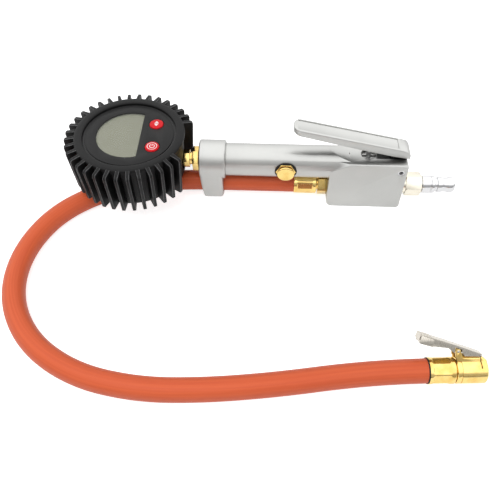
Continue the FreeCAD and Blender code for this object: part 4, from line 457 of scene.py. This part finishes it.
def finishes():
    """Every finish by its slot in the record."""
    steel = bright_steel("bright_steel", 0.22, tones().steel)
    return {
        "cast_metal": cast_metal(),
        "brass": brass(),
        "nickel_brass": nickel(),
        "clip_steel": bright_steel("clip_nickel", 0.20, tones().clip),
        "plug_steel": bright_steel("plug_chrome", 0.06, opaque(tones().steel, 0.96)[:3]),
        "pin_steel": steel,
        "screw_steel": steel,
        "spring_steel": bright_steel("spring_wire", 0.28, tones().steel),
        "hose_rubber": hose_rubber(),
        "boot_rubber": boot_rubber(),
        "seal_rubber": moulded("seal_rubber", (0.012, 0.012, 0.012), 0.5, gloss=0.3),
        "case_plastic": moulded("case_plastic", (0.018, 0.018, 0.018), 0.45, gloss=0.3),
        "panel_plastic": moulded("panel_plastic", tones().panel, 0.42, 0.000012, gloss=0.22),
        "button_plastic": moulded("button_plastic", tones().button, 0.34, 0.000008, 1.1, 0.25),
        "cell_jacket": moulded("cell_jacket", (0.05, 0.08, 0.16), 0.25, 0.000005),
        "washer_fibre": moulded("washer_fibre", (0.24, 0.06, 0.035), 0.6, 0.00005),
        "lead": moulded("lead_jacket", (0.42, 0.02, 0.02), 0.4),
        "display": display_glass(),
        "window": clear_window(),
        "board": circuit_green(),
    }


def finish_for(slot):
    """The finish of a slot, made once for the whole scene."""
    store = bpy.context.scene.inflator_store
    if not store.ready:
        for name, material in finishes().items():
            entry = store.finishes.add()
            entry.name = name
            entry.material = material
        store.ready = True
    return store.finishes[slot].material


class FinishEntry(PropertyGroup):
    """A finish under the name of its slot."""

    material: PointerProperty(type=bpy.types.Material, name="Material", description="This slot's finish")


class InflatorStore(PropertyGroup):
    """The finishes that have been made."""

    finishes: CollectionProperty(type=FinishEntry, name="Finishes", description="Finishes by slot")
    ready: BoolProperty(name="Ready", description="The finishes have been made", default=False)


# Making and placing pieces


def settle(name, mesh, body, slot, replaced=()):
    """Puts a mesh in the scene on its body, with its finish, in place of the solids it stands for."""
    piece = bpy.data.objects.new(name, mesh)
    bpy.context.scene.collection.objects.link(piece)
    mesh.materials.clear()
    mesh.materials.append(finish_for(slot))
    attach(piece, body)
    if replaced:
        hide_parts(*replaced)
    return piece


def as_mesh(form, name, smooth_below=SMOOTH_BELOW):
    """A mesh from a bmesh, facing outwards, smooth apart from its sharp edges."""
    bmesh.ops.recalc_face_normals(form, faces=form.faces)
    mesh = bpy.data.meshes.new(name)
    form.to_mesh(mesh)
    form.free()
    mesh.shade_smooth()
    mesh.set_sharp_from_angle(angle=smooth_below)
    return mesh


def round_edges(form, width, above=math.radians(30), segments=2):
    """Rounds every edge of a closed form that turns more than an angle, and returns the rounded faces."""
    edges = [edge for edge in form.edges if len(edge.link_faces) == 2 and edge.calc_face_angle() > above]
    return bmesh.ops.bevel(
        form, geom=edges, offset=width, offset_type="OFFSET", segments=segments, profile=0.5, affect="EDGES",
        clamp_overlap=True,
    )["faces"]


def close_between(form, first, second):
    """Closes two rings of corners into one solid form."""
    form.faces.new(first)
    form.faces.new(second[::-1])
    for index in range(len(first)):
        following = (index + 1) % len(first)
        form.faces.new((first[index], second[index], second[following], first[following]))


def cut_away(mesh, cutter_form, smooth_below=math.radians(40)):
    """What is left of a mesh where a closed form is taken out of it."""
    thing = bpy.data.objects.new("cut_thing", mesh)
    cutter = bpy.data.objects.new("cutter", as_mesh(cutter_form, "cutter"))
    for each in (thing, cutter):
        bpy.context.scene.collection.objects.link(each)
    taking = thing.modifiers.new("taking", "BOOLEAN")
    taking.operation = "DIFFERENCE"
    taking.object = cutter
    graph = bpy.context.evaluated_depsgraph_get()
    left = bpy.data.meshes.new_from_object(thing.evaluated_get(graph), depsgraph=graph)
    thing.modifiers.remove(taking)
    for each in (thing, cutter):
        bpy.data.objects.remove(each)
    left.shade_smooth()
    left.set_sharp_from_angle(angle=smooth_below)
    return left


def merged_copy(node):
    """A solid's form with its doubled corners merged."""
    form = bmesh.new()
    form.from_mesh(frame["nodes"][node].data)
    bmesh.ops.remove_doubles(form, verts=form.verts, dist=MERGE_DISTANCE)
    return form


def softened(node, width, segments=2, slit=None):
    """A copy of a solid with its edges rounded, in its place, and with a slit cut where one is given."""
    form = merged_copy(node)
    bmesh.ops.dissolve_limit(form, angle_limit=math.radians(0.3), verts=form.verts, edges=form.edges)
    round_edges(form, width, segments=segments)
    mesh = as_mesh(form, node)
    if slit:
        mesh = cut_away(mesh, slit, SMOOTH_BELOW)
    return settle(f"{node}_finished", mesh, BODY_OF[node], SLOT_OF[node], [node])


def lathe(name, loop, sides, place, radius_at=None):
    """A closed form turned about +X from a loop of (along, radius) in millimetres; radius_at reshapes it."""
    form = bmesh.new()
    rows = []
    for along, radius in loop:
        row = []
        for step in range(sides):
            angle = 2 * math.pi * step / sides
            reach = radius_at(angle, along, radius) if radius_at else radius
            spot = Vector((along, reach * math.cos(angle), reach * math.sin(angle))) * MM
            row.append(form.verts.new(place @ spot))
        rows.append(row)
    for first, second in zip(rows, rows[1:] + rows[:1]):
        for step in range(sides):
            following = (step + 1) % sides
            form.faces.new((first[step], first[following], second[following], second[step]))
    return as_mesh(form, name)


def copies(seed, slot, values):
    """Copies of a seed in a row as one plain mesh, from the tree's named values, in the finish of a slot."""
    tree = copies_tree()
    values = {**values, "Finish": finish_for(slot)}
    carrier = bpy.data.objects.new(tree.name, seed)
    bpy.context.scene.collection.objects.link(carrier)
    modifier = carrier.modifiers.new(tree.name, "NODES")
    modifier.node_group = tree
    for item in tree.interface.items_tree:
        if item.item_type == "SOCKET" and item.in_out == "INPUT" and item.name in values:
            modifier[item.identifier] = values[item.name]
    graph = bpy.context.evaluated_depsgraph_get()
    mesh = bpy.data.meshes.new_from_object(carrier.evaluated_get(graph), depsgraph=graph)
    carrier.modifiers.remove(modifier)
    bpy.data.objects.remove(carrier)
    return mesh


def copies_tree():
    """Copies of a seed along a line, each turned about +Z from the one before."""
    tree = bpy.data.node_groups.new("copies_in_a_row", "GeometryNodeTree")
    tree.interface.new_socket(name="Seed", in_out="INPUT", socket_type="NodeSocketGeometry")
    for name, kind in (
        ("Count", "NodeSocketInt"), ("Start", "NodeSocketVector"), ("Step", "NodeSocketVector"),
        ("First angle", "NodeSocketFloat"), ("Turn", "NodeSocketFloat"), ("Finish", "NodeSocketMaterial"),
    ):
        tree.interface.new_socket(name=name, in_out="INPUT", socket_type=kind)
    tree.interface.new_socket(name="Copies", in_out="OUTPUT", socket_type="NodeSocketGeometry")
    given = add_node(tree, "NodeGroupInput")
    points = add_node(
        tree, "GeometryNodeMeshLine", {"mode": "OFFSET"},
        {"Count": given.out("Count"), "Start Location": given.out("Start"), "Offset": given.out("Step")},
    )
    angle = given.out("First angle") + add_node(tree, "GeometryNodeInputIndex") * given.out("Turn")
    turn = add_node(tree, "FunctionNodeAxisAngleToRotation", None, {"Axis": (0.0, 0.0, 1.0), "Angle": angle})
    placed = add_node(
        tree, "GeometryNodeInstanceOnPoints", None,
        {"Points": points, "Instance": given.out("Seed"), "Rotation": turn},
    )
    solid = add_node(tree, "GeometryNodeRealizeInstances", None, {"Geometry": placed})
    finish = {"Geometry": solid, "Material": given.out("Finish")}
    dressed = add_node(tree, "GeometryNodeSetMaterial", None, finish)
    add_node(tree, "NodeGroupOutput", None, {"Copies": dressed})
    return tree


# Boot round the gauge


def rib_seed(edge):
    """One rib at angle 0: its root inside the boot's wall, thinner at its tip, its top level with the lip."""
    side_view = [
        (32.0, 0.2), (39.2, 0.0), (39.8, 0.5), (41.7, 27.6), (41.5, 28.9), (40.6, 29.7), (35.2, 30.5),
        (32.0, 30.2),
    ]
    form = bmesh.new()
    rubbed = form.faces.layers.float.new(EDGE_HIGHLIGHT)
    flanks = []
    for sign in (-1, 1):
        corners = []
        for radius, height in side_view:
            half_width = RIB_ROOT_HALF_WIDTH - (radius - RIB_ROOT) / 10 * RIB_TAPER
            corners.append(form.verts.new(Vector((radius, sign * half_width, height)) * MM))
        flanks.append(corners)
    close_between(form, *flanks)
    bmesh.ops.recalc_face_normals(form, faces=form.faces)
    # The faces of the rounded edges are marked to take the painted highlight
    for face in round_edges(form, edge, math.radians(50), 3):
        face[rubbed] = 1.0
    return as_mesh(form, "boot_rib", math.radians(50))


def boot_cup():
    """The boot's wall, floor and lip, with the opening that the brass stem comes through."""
    lip, radius = BOOT_HEIGHT, STEM_OPENING_RADIUS * MM
    loop = [
        (0.0, 28.3), (0.0, 32.2), (0.25, 33.0), (1.0, 33.4), (lip - 8.0, 34.0), (lip - 2.4, 35.3),
        (lip - 1.2, 35.4), (lip - 0.5, 35.1), (lip - 0.1, 34.4), (lip, 33.2), (lip, 31.2), (lip - 0.1, 30.4),
        (lip - 0.45, 29.95), (lip - 1.0, 29.75), (lip - 2.6, 29.7), (lip - 2.6, 31.6), (2.0, 31.6),
        (2.0, 28.3),
    ]
    upright = Matrix.Translation(GAUGE_CENTRE) @ Matrix.Rotation(math.radians(-90), 4, "Y")
    bore = bmesh.new()
    aim = Matrix.Translation(STEM_OPENING * MM) @ Matrix.Rotation(math.radians(90), 4, "Y")
    bmesh.ops.create_cone(
        bore, cap_ends=True, segments=64, radius1=radius, radius2=radius, depth=STEM_OPENING_DEPTH * MM,
        matrix=aim,
    )
    return cut_away(lathe("boot_cup", loop, 160, upright), bore)


class INFLATOR_OT_boot(Operator):
    """Make the gauge's rubber boot with its ring of ribs"""

    bl_idname = "inflator.boot"
    bl_label = "Gauge boot"

    def execute(self, context):
        sizes = context.scene.inflator_sizes
        settle("boot_cup", boot_cup(), "base", "boot_rubber", ["gauge_boot"])
        ribs = copies(
            rib_seed(sizes.rib_edge), "boot_rubber",
            {
                "Count": sizes.rib_count, "Start": GAUGE_CENTRE, "Step": (0.0, 0.0, 0.0),
                "First angle": sizes.first_rib, "Turn": sizes.rib_spacing,
            },
        )
        settle("boot_ribs", ribs, "base", "boot_rubber", ["gauge_boot"])
        return {"FINISHED"}


# Castings


class INFLATOR_OT_castings(Operator):
    """Make the barrel with its valve block, the end cap and the lever"""

    bl_idname = "inflator.castings"
    bl_label = "Castings"

    def execute(self, context):
        edge = context.scene.inflator_sizes.cast_edge
        for node in ("valve_body", "barrel_end_cap", "trigger_lever"):
            softened(node, edge)
        return {"FINISHED"}


# Gauge face


def flat_shape(form, outline, low, high):
    """A closed plate from an outline of (x, y) between two heights, in millimetres."""
    bottom = [form.verts.new(Vector((x, y, low)) * MM) for x, y in outline]
    top = [form.verts.new(Vector((x, y, high)) * MM) for x, y in outline]
    close_between(form, top, bottom)


def ring_band(centre, inner, outer, first, last, steps=36):
    """The outline of part of a ring between two angles in degrees."""
    x, y = centre
    turns = [math.radians(first + (last - first) * step / steps) for step in range(steps + 1)]
    outer_side = [(x + outer * math.cos(turn), y + outer * math.sin(turn)) for turn in turns]
    inner_side = [(x + inner * math.cos(turn), y + inner * math.sin(turn)) for turn in reversed(turns)]
    return outer_side + inner_side


def bar(centre, wide, tall):
    """The outline of a small upright bar."""
    x, y = centre
    return [
        (x - wide / 2, y - tall / 2), (x + wide / 2, y - tall / 2), (x + wide / 2, y + tall / 2),
        (x - wide / 2, y + tall / 2),
    ]


def button_mark(name, outlines, body):
    """White marks printed on a button, a hair above its top."""
    form = bmesh.new()
    for outline in outlines:
        flat_shape(form, outline, MARK_BOTTOM, MARK_TOP)
    piece = settle(name, as_mesh(form, name), body, "button_plastic")
    ink = bpy.data.materials.get("mark_ink") or moulded("mark_ink", (0.86, 0.86, 0.86), 0.4, 0.000003, 1.05)
    piece.data.materials[0] = ink


class INFLATOR_OT_face(Operator):
    """Make the gauge's panel, its display and the two marked buttons"""

    bl_idname = "inflator.face"
    bl_label = "Gauge face"

    def execute(self, context):
        for node in ("face_panel", "lcd_window"):
            softened(node, FINE_EDGES[node])
        for node in ("power_button", "unit_button"):
            softened(node, FINE_EDGES[node], segments=3)
        boxes = (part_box("power_button"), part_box("unit_button"))
        power_y, unit_y = [(low.y + high.y) / 2 / MM for low, high in boxes]
        x = BUTTON_X
        button_mark(
            "power_mark",
            [
                ring_band((x, power_y), 2.85, 3.2, 0, 356, 60), ring_band((x, power_y), 1.3, 1.75, 120, 420),
                bar((x, power_y + 1.0), 0.42, 1.7),
            ],
            "power_key",
        )
        arrows = [bar((x, unit_y), 2.6, 0.45)]
        for side in (-1, 1):
            foot = unit_y + side * 0.75
            arrows.append([(x - side * 1.25, foot), (x + side * 1.25, foot), (x, foot + side * 1.6)])
        button_mark("unit_mark", arrows, "unit_key")
        return {"FINISHED"}


# Brass and steel fittings


class INFLATOR_OT_fittings(Operator):
    """Make the brass stem, connector, bush, bleed button, hose fitting, adapter and plug"""

    bl_idname = "inflator.fittings"
    bl_label = "Fittings"

    def execute(self, context):
        edge = context.scene.inflator_sizes.brass_edge
        for node in (
            "gauge_stem", "gauge_connector", "connector_washer", "bleed_bush", "bleed_button", "hose_fitting",
            "inlet_adapter", "inlet_washer", "lever_pin", "stem_gland", "bleed_washer",
        ):
            softened(node, edge)
        gland = bpy.data.objects["stem_gland_finished"]
        gland.data.materials[0] = bright_steel("gland_steel", 0.34, (0.36, 0.36, 0.35))
        softened("inlet_plug", FINE_EDGES["inlet_plug"])
        return {"FINISHED"}


# Crimped sleeves


def hose_side(sizes):
    """The radius in millimetres of what closes round the hose."""
    return sizes.hose_diameter / 2 / MM + SLEEVE_GAP


def crimped_sleeve(name, place, sizes, long, band_start, band_end, neck):
    """A sleeve pressed onto the hose by a ring of dies, with a plain rolled band at each end."""
    outer, inner = SLEEVE_RADIUS, hose_side(sizes)
    flats, depth = sizes.crimp_flats, sizes.crimp_depth / MM

    def radius_at(angle, along, radius):
        if radius < outer - 0.2:
            return radius
        share = min(1.0, max(0.0, (along - band_start) / 0.5))
        share *= min(1.0, max(0.0, (long - band_end - along) / 0.5))
        sector = 2 * math.pi / flats
        off_middle = (angle % sector) - sector / 2
        pressed = min(radius, (outer - depth) / math.cos(off_middle))
        return radius + (pressed - radius) * share * share * (3 - 2 * share)

    loop = [(0.0, inner), (0.0, 7.05), (0.12, 7.27), (0.35, outer)]
    steps = 36
    loop += [(0.35 + (long - 0.95) * step / steps, outer) for step in range(1, steps + 1)]
    loop += [(long - 0.3, 7.25), (long - 0.05, 6.95), (long, 6.6), (long, neck)]
    loop += [(long - 0.8, neck), (long - 0.8, inner)]
    return lathe(name, loop, 96, place, radius_at)


class INFLATOR_OT_sleeves(Operator):
    """Make the two crimped brass sleeves on the hose"""

    bl_idname = "inflator.sleeves"
    bl_label = "Crimped sleeves"

    def execute(self, context):
        sizes = context.scene.inflator_sizes
        block_place = Matrix.Translation(FITTING_FERRULE_START)
        block_mesh = crimped_sleeve(
            "block_sleeve", block_place, sizes, long=15.3, band_start=2.2, band_end=2.4, neck=4.52
        )
        settle("block_sleeve", block_mesh, "base", "brass", ["hose_ferrule"])
        chuck_mesh = crimped_sleeve(
            "chuck_sleeve", CHUCK_PLACE, sizes, long=14.2, band_start=1.7, band_end=2.6, neck=5.62
        )
        settle("chuck_sleeve", chuck_mesh, "base", "brass", ["chuck_ferrule"])
        inner = hose_side(sizes)
        edge_loop = [
            (-0.6, inner), (-0.6, 7.1), (-0.45, 7.25), (-0.15, 7.25), (-0.05, 7.1), (-0.05, inner),
        ]
        edge_mesh = lathe("chuck_sleeve_edge", edge_loop, 96, CHUCK_PLACE)
        settle("chuck_sleeve_edge", edge_mesh, "base", "seal_rubber")
        return {"FINISHED"}


# Chuck and clip


def on_chuck(along, across, up):
    """A point given along, across and above the chuck's axis in millimetres."""
    return CHUCK_PLACE @ (Vector((along, across, up)) * MM)


def slit_cutter():
    """The thin block that cuts the slit in the chuck's side."""
    form = bmesh.new()
    bmesh.ops.create_cube(form, size=1.0)
    for vert in form.verts:
        vert.co = on_chuck(*(SLIT_MIDDLE + vert.co * SLIT_SIZE))
    return form


def clip_end():
    """The square end of the clip's handle: two flanges and the wall between them."""
    form = bmesh.new()
    for low, high, ring in CLIP_PLATES:
        near = [form.verts.new(on_chuck(along, low, up)) for along, up in ring]
        far = [form.verts.new(on_chuck(along, high, up)) for along, up in ring]
        close_between(form, near, far)
    bmesh.ops.recalc_face_normals(form, faces=form.faces)
    round_edges(form, FINE_EDGES["chuck_clip"], math.radians(50))
    return as_mesh(form, "clip_end")


def grip_ridge():
    """One ridge across the handle, turned as the chuck is."""
    run = (LAST_RIDGE - FIRST_RIDGE).normalized()
    lift = Vector((-run.z, 0.0, run.x))
    form = bmesh.new()
    bmesh.ops.create_cube(form, size=1.0)
    for vert in form.verts:
        along, across, up = vert.co
        corner = run * (along * RIDGE_WIDTH) + Vector((0, across * RIDGE_ACROSS, 0))
        corner += lift * (RIDGE_TOP if up > 0 else RIDGE_BOTTOM)
        vert.co = CHUCK_TURN.to_3x3() @ (corner * MM)
    return as_mesh(form, "grip_ridge")


class INFLATOR_OT_chuck(Operator):
    """Make the chuck, its clip with the grip ridges, and the clip's pin"""

    bl_idname = "inflator.chuck"
    bl_label = "Chuck and clip"

    def execute(self, context):
        sizes = context.scene.inflator_sizes
        softened("chuck_body", sizes.brass_edge, slit=slit_cutter())
        for node in ("chuck_clip", "clip_pin"):
            softened(node, FINE_EDGES[node])
        settle("clip_end", clip_end(), "clip", "clip_steel")
        first, last = on_chuck(*FIRST_RIDGE), on_chuck(*LAST_RIDGE)
        step = (last - first) / max(1, sizes.grip_ridges - 1)
        ridges = copies(
            grip_ridge(), "clip_steel",
            {"Count": sizes.grip_ridges, "Start": first, "Step": step, "First angle": 0.0, "Turn": 0.0},
        )
        settle("clip_grip", ridges, "clip", "clip_steel")
        return {"FINISHED"}


# Hose


def route_line(corners):
    """Points of the smooth line that the hose's route gives."""
    path = bpy.data.curves.new("hose_route", "CURVE")
    path.dimensions = "3D"
    spline = path.splines.new("NURBS")
    spline.points.add(len(corners) - 1)
    for point, corner in zip(spline.points, corners):
        point.co = (*corner, 1.0)
    spline.order_u = 3
    spline.use_endpoint_u = True
    path.resolution_u = 20
    carrier = bpy.data.objects.new("hose_route", path)
    bpy.context.scene.collection.objects.link(carrier)
    line = bpy.data.meshes.new_from_object(carrier)
    points = [vert.co.copy() for vert in line.vertices]
    bpy.data.objects.remove(carrier)
    bpy.data.meshes.remove(line)
    return points


def swept_tube(points, radius, ridge, sides=64):
    """A closed round tube along points, with a fine ridge on its upper side and UVs of length and turn."""
    form = bmesh.new()
    layer = form.loops.layers.uv.new("along")
    rows, travelled = [], [0.0]
    side = Vector((0.0, 1.0, 0.0))
    for index, point in enumerate(points):
        before, after = points[max(0, index - 1)], points[min(len(points) - 1, index + 1)]
        ahead = (after - before).normalized()
        side = (side - ahead * side.dot(ahead)).normalized()
        up = ahead.cross(side)
        if index:
            travelled.append(travelled[-1] + (point - points[index - 1]).length)
        row = []
        for step in range(sides):
            angle = 2 * math.pi * step / sides
            off_ridge = abs((angle - HOSE_RIDGE_ANGLE + math.pi) % (2 * math.pi) - math.pi)
            reach = radius - ridge * 0.5 + ridge * max(0.0, 1 - (off_ridge / HOSE_RIDGE_HALF_ANGLE) ** 2)
            row.append(form.verts.new(point + (side * math.cos(angle) + up * math.sin(angle)) * reach))
        rows.append(row)
    for index, (first, second) in enumerate(zip(rows, rows[1:])):
        for step in range(sides):
            following = (step + 1) % sides
            face = form.faces.new((first[step], second[step], second[following], first[following]))
            spots = ((index, step), (index + 1, step), (index + 1, step + 1), (index, step + 1))
            for loop, (row_index, turn) in zip(face.loops, spots):
                loop[layer].uv = (travelled[row_index] * 10, turn / sides)
    form.faces.new(rows[0][::-1])
    form.faces.new(rows[-1])
    return as_mesh(form, "hose", math.radians(60)), travelled[-1]


class INFLATOR_OT_hose(Operator):
    bl_idname = "inflator.hose"
    bl_label = "Hose"

    def execute(self, context):
        sizes = context.scene.inflator_sizes
        points = route_line(HOSE_ROUTE)
        mesh, hose_length = swept_tube(points, sizes.hose_diameter / 2, sizes.hose_ridge)
        hose = settle("hose_tube", mesh, "base", "hose_rubber", ["hose"])
        on_hose = [
            bpy.data.objects[name]
            for name in (
                "chuck_sleeve", "chuck_sleeve_edge", "chuck_body_finished", "clip_pin_finished", "clip_grip",
                "clip_end", "chuck_clip_finished",
            )
        ]
        unseen = ("chuck_stem", "chuck_depressor", "chuck_seal", "clip_spring")
        on_hose += [frame["nodes"][name] for name in unseen]
        return {"FINISHED"}


# Return springs


class INFLATOR_OT_springs(Operator):
    """Make the two return springs"""

    bl_idname = "inflator.springs"
    bl_label = "Return springs"

    def execute(self, context):
        for joint in RECORD["behaviour"]["joints"]:
            for moving in joint.get("deforming_nodes", ()):
                node, axis = moving["node"], Vector([abs(part) for part in joint["axis"]])
                mesh = as_mesh(merged_copy(node), node)
                spring = settle(f"{node}_coil", mesh, BODY_OF[node], SLOT_OF[node], [node])
                low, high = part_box(node)
                fixed = low if Vector(joint["axis"]).dot(axis) < 0 else high
                long = (high - low).dot(axis)
                (long - joint["range_m"][1]) / long
                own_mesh(spring)
        return {"FINISHED"}


# Solids that stay as they are


class INFLATOR_OT_solids(Operator):
    """Give every solid that stays its finish"""

    bl_idname = "inflator.solids"
    bl_label = "Remaining solids"

    def execute(self, context):
        for name, solid in frame["nodes"].items():
            material = finish_for(SLOT_OF[name])
            if not solid.data.materials:
                solid.data.materials.append(material)
            for slot in solid.material_slots:
                slot.material = material
        return {"FINISHED"}


# Stage: floor, world, lamps and camera


def seen_directly(path):
    """1 for camera and transmission rays, 0 for the rest."""
    return path.maths("MAXIMUM", path.out("Is Camera Ray"), path.out("Is Transmission Ray"))


def floor_finish():
    """Plain pale floor, white where it is looked at, with the object's shadow kept."""
    paper = bpy.data.materials.new("pale_floor")
    paper.use_nodes = True
    tree = paper.node_tree
    tree.nodes.clear()
    path = add_node(tree, "ShaderNodeLightPath")
    matte = add_node(tree, "ShaderNodeBsdfDiffuse", None, {"Color": (0.84, 0.84, 0.84, 1.0)})
    lift = seen_directly(path) * 0.75 + path.out("Is Glossy Ray") * 0.4
    glow = add_node(tree, "ShaderNodeEmission", None, {"Strength": lift})
    both = add_node(tree, "ShaderNodeAddShader", None, {0: matte, 1: glow})
    add_node(tree, "ShaderNodeOutputMaterial", None, {"Surface": both})
    return paper


def studio_world(level):
    """Even studio air: white where it is looked at, a soft gradient in metal, a plain level for the rest."""
    world = bpy.data.worlds.new("studio")
    bpy.context.scene.world = world
    world.use_nodes = True
    tree = world.node_tree
    tree.nodes.clear()
    path = add_node(tree, "ShaderNodeLightPath")
    way = add_node(tree, "ShaderNodeTexCoord").out("Generated")
    parts = add_node(tree, "ShaderNodeSeparateXYZ", None, {0: way})
    ahead, height = parts.out("Y"), parts.out("Z")
    overhead = (0.5 * ahead + 0.866 * height).between(-0.05, 0.3, 0.62, 1.86)
    overhead *= height.between(0.0, 0.45, 0.85, 1.0)
    horizon = (1.0 - height.between(0.03, 0.16)) * (1.0 - ahead.between(-0.6, -0.2))
    mirrored = overhead * (1.0 - 0.75 * horizon) * (1.0 - 0.25 * ahead.between(0.65, 1.0))
    straight = seen_directly(path)
    rest = 1.0 - straight.maths("MAXIMUM", straight, path.out("Is Glossy Ray"))
    strength = straight + path.out("Is Glossy Ray") * mirrored + rest * level
    air = add_node(tree, "ShaderNodeBackground", None, {"Color": (1.0, 1.0, 1.0, 1.0), "Strength": strength})
    add_node(tree, "ShaderNodeOutputWorld", None, {"Surface": air})


def soft_lamp(name, spot, width, depth, power):
    """A large soft lamp that metal doesn't mirror; the studio air gives the metal its gradient."""
    light = bpy.data.lights.new(name, "AREA")
    light.shape = "RECTANGLE"
    light.size = width
    light.size_y = depth
    light.energy = power
    lamp = bpy.data.objects.new(name, light)
    bpy.context.scene.collection.objects.link(lamp)
    lamp.visible_glossy = False
    lamp.location = spot
    lamp.rotation_euler = (LAMP_AIM - spot).to_track_quat("-Z", "Y").to_euler()


class INFLATOR_OT_stage(Operator):
    """Make the pale floor, the soft light and the camera"""

    bl_idname = "inflator.stage"
    bl_label = "Stage"

    def execute(self, context):
        form = bmesh.new()
        bmesh.ops.create_grid(form, x_segments=1, y_segments=1, size=4.0)
        sheet = as_mesh(form, "floor")
        sheet.transform(Matrix.Translation((0.0, 0.0, -FLOOR_DROP)))
        floor = bpy.data.objects.new("floor", sheet)
        context.scene.collection.objects.link(floor)
        sheet.materials.append(floor_finish())
        studio_world(AIR_LEVEL)
        for name, (spot, width, depth, power) in LAMPS.items():
            soft_lamp(name, spot, width, depth, power)
        view = bpy.data.cameras.new("camera")
        view.lens = CAMERA_LENS
        view.sensor_width = CAMERA_SENSOR
        camera = bpy.data.objects.new("camera", view)
        context.scene.collection.objects.link(camera)
        camera.location = CAMERA_PLACE
        camera.rotation_euler = (CAMERA_AIM - CAMERA_PLACE).to_track_quat("-Z", "Y").to_euler()
        context.scene.camera = camera
        context.scene.view_settings.view_transform = "Standard"
        return {"FINISHED"}


# Sidebar panel and registration


STEPS = (
    INFLATOR_OT_stage, INFLATOR_OT_castings, INFLATOR_OT_boot, INFLATOR_OT_face, INFLATOR_OT_fittings,
    INFLATOR_OT_sleeves, INFLATOR_OT_chuck, INFLATOR_OT_hose, INFLATOR_OT_springs, INFLATOR_OT_solids,
)


class INFLATOR_PT_panel(Panel):
    """Sizes, colours and the steps that make the inflator"""

    bl_idname = "INFLATOR_PT_panel"
    bl_label = "Tire inflator"
    bl_space_type = "VIEW_3D"
    bl_region_type = "UI"
    bl_category = "Inflator"

    def draw(self, context):
        for step in STEPS:
            self.layout.operator(step.bl_idname)
        for group in (context.scene.inflator_sizes, context.scene.inflator_colours):
            box = self.layout.box()
            for name in group.bl_rna.properties.keys():
                if name not in ("rna_type", "name"):
                    box.prop(group, name)


CLASSES = (FinishEntry, InflatorStore, InflatorSizes, InflatorColours, *STEPS, INFLATOR_PT_panel)


def register():
    for kind in CLASSES:
        bpy.utils.register_class(kind)
    bpy.types.Scene.inflator_sizes = PointerProperty(type=InflatorSizes)
    bpy.types.Scene.inflator_colours = PointerProperty(type=InflatorColours)
    bpy.types.Scene.inflator_store = PointerProperty(type=InflatorStore)


def unregister():
    del bpy.types.Scene.inflator_store
    del bpy.types.Scene.inflator_colours
    del bpy.types.Scene.inflator_sizes
    for kind in reversed(CLASSES):
        bpy.utils.unregister_class(kind)


def main():
    register()
    for step in STEPS:
        family, name = step.bl_idname.split(".")
        getattr(getattr(bpy.ops, family), name)()


if __name__ == "__main__":
    main()
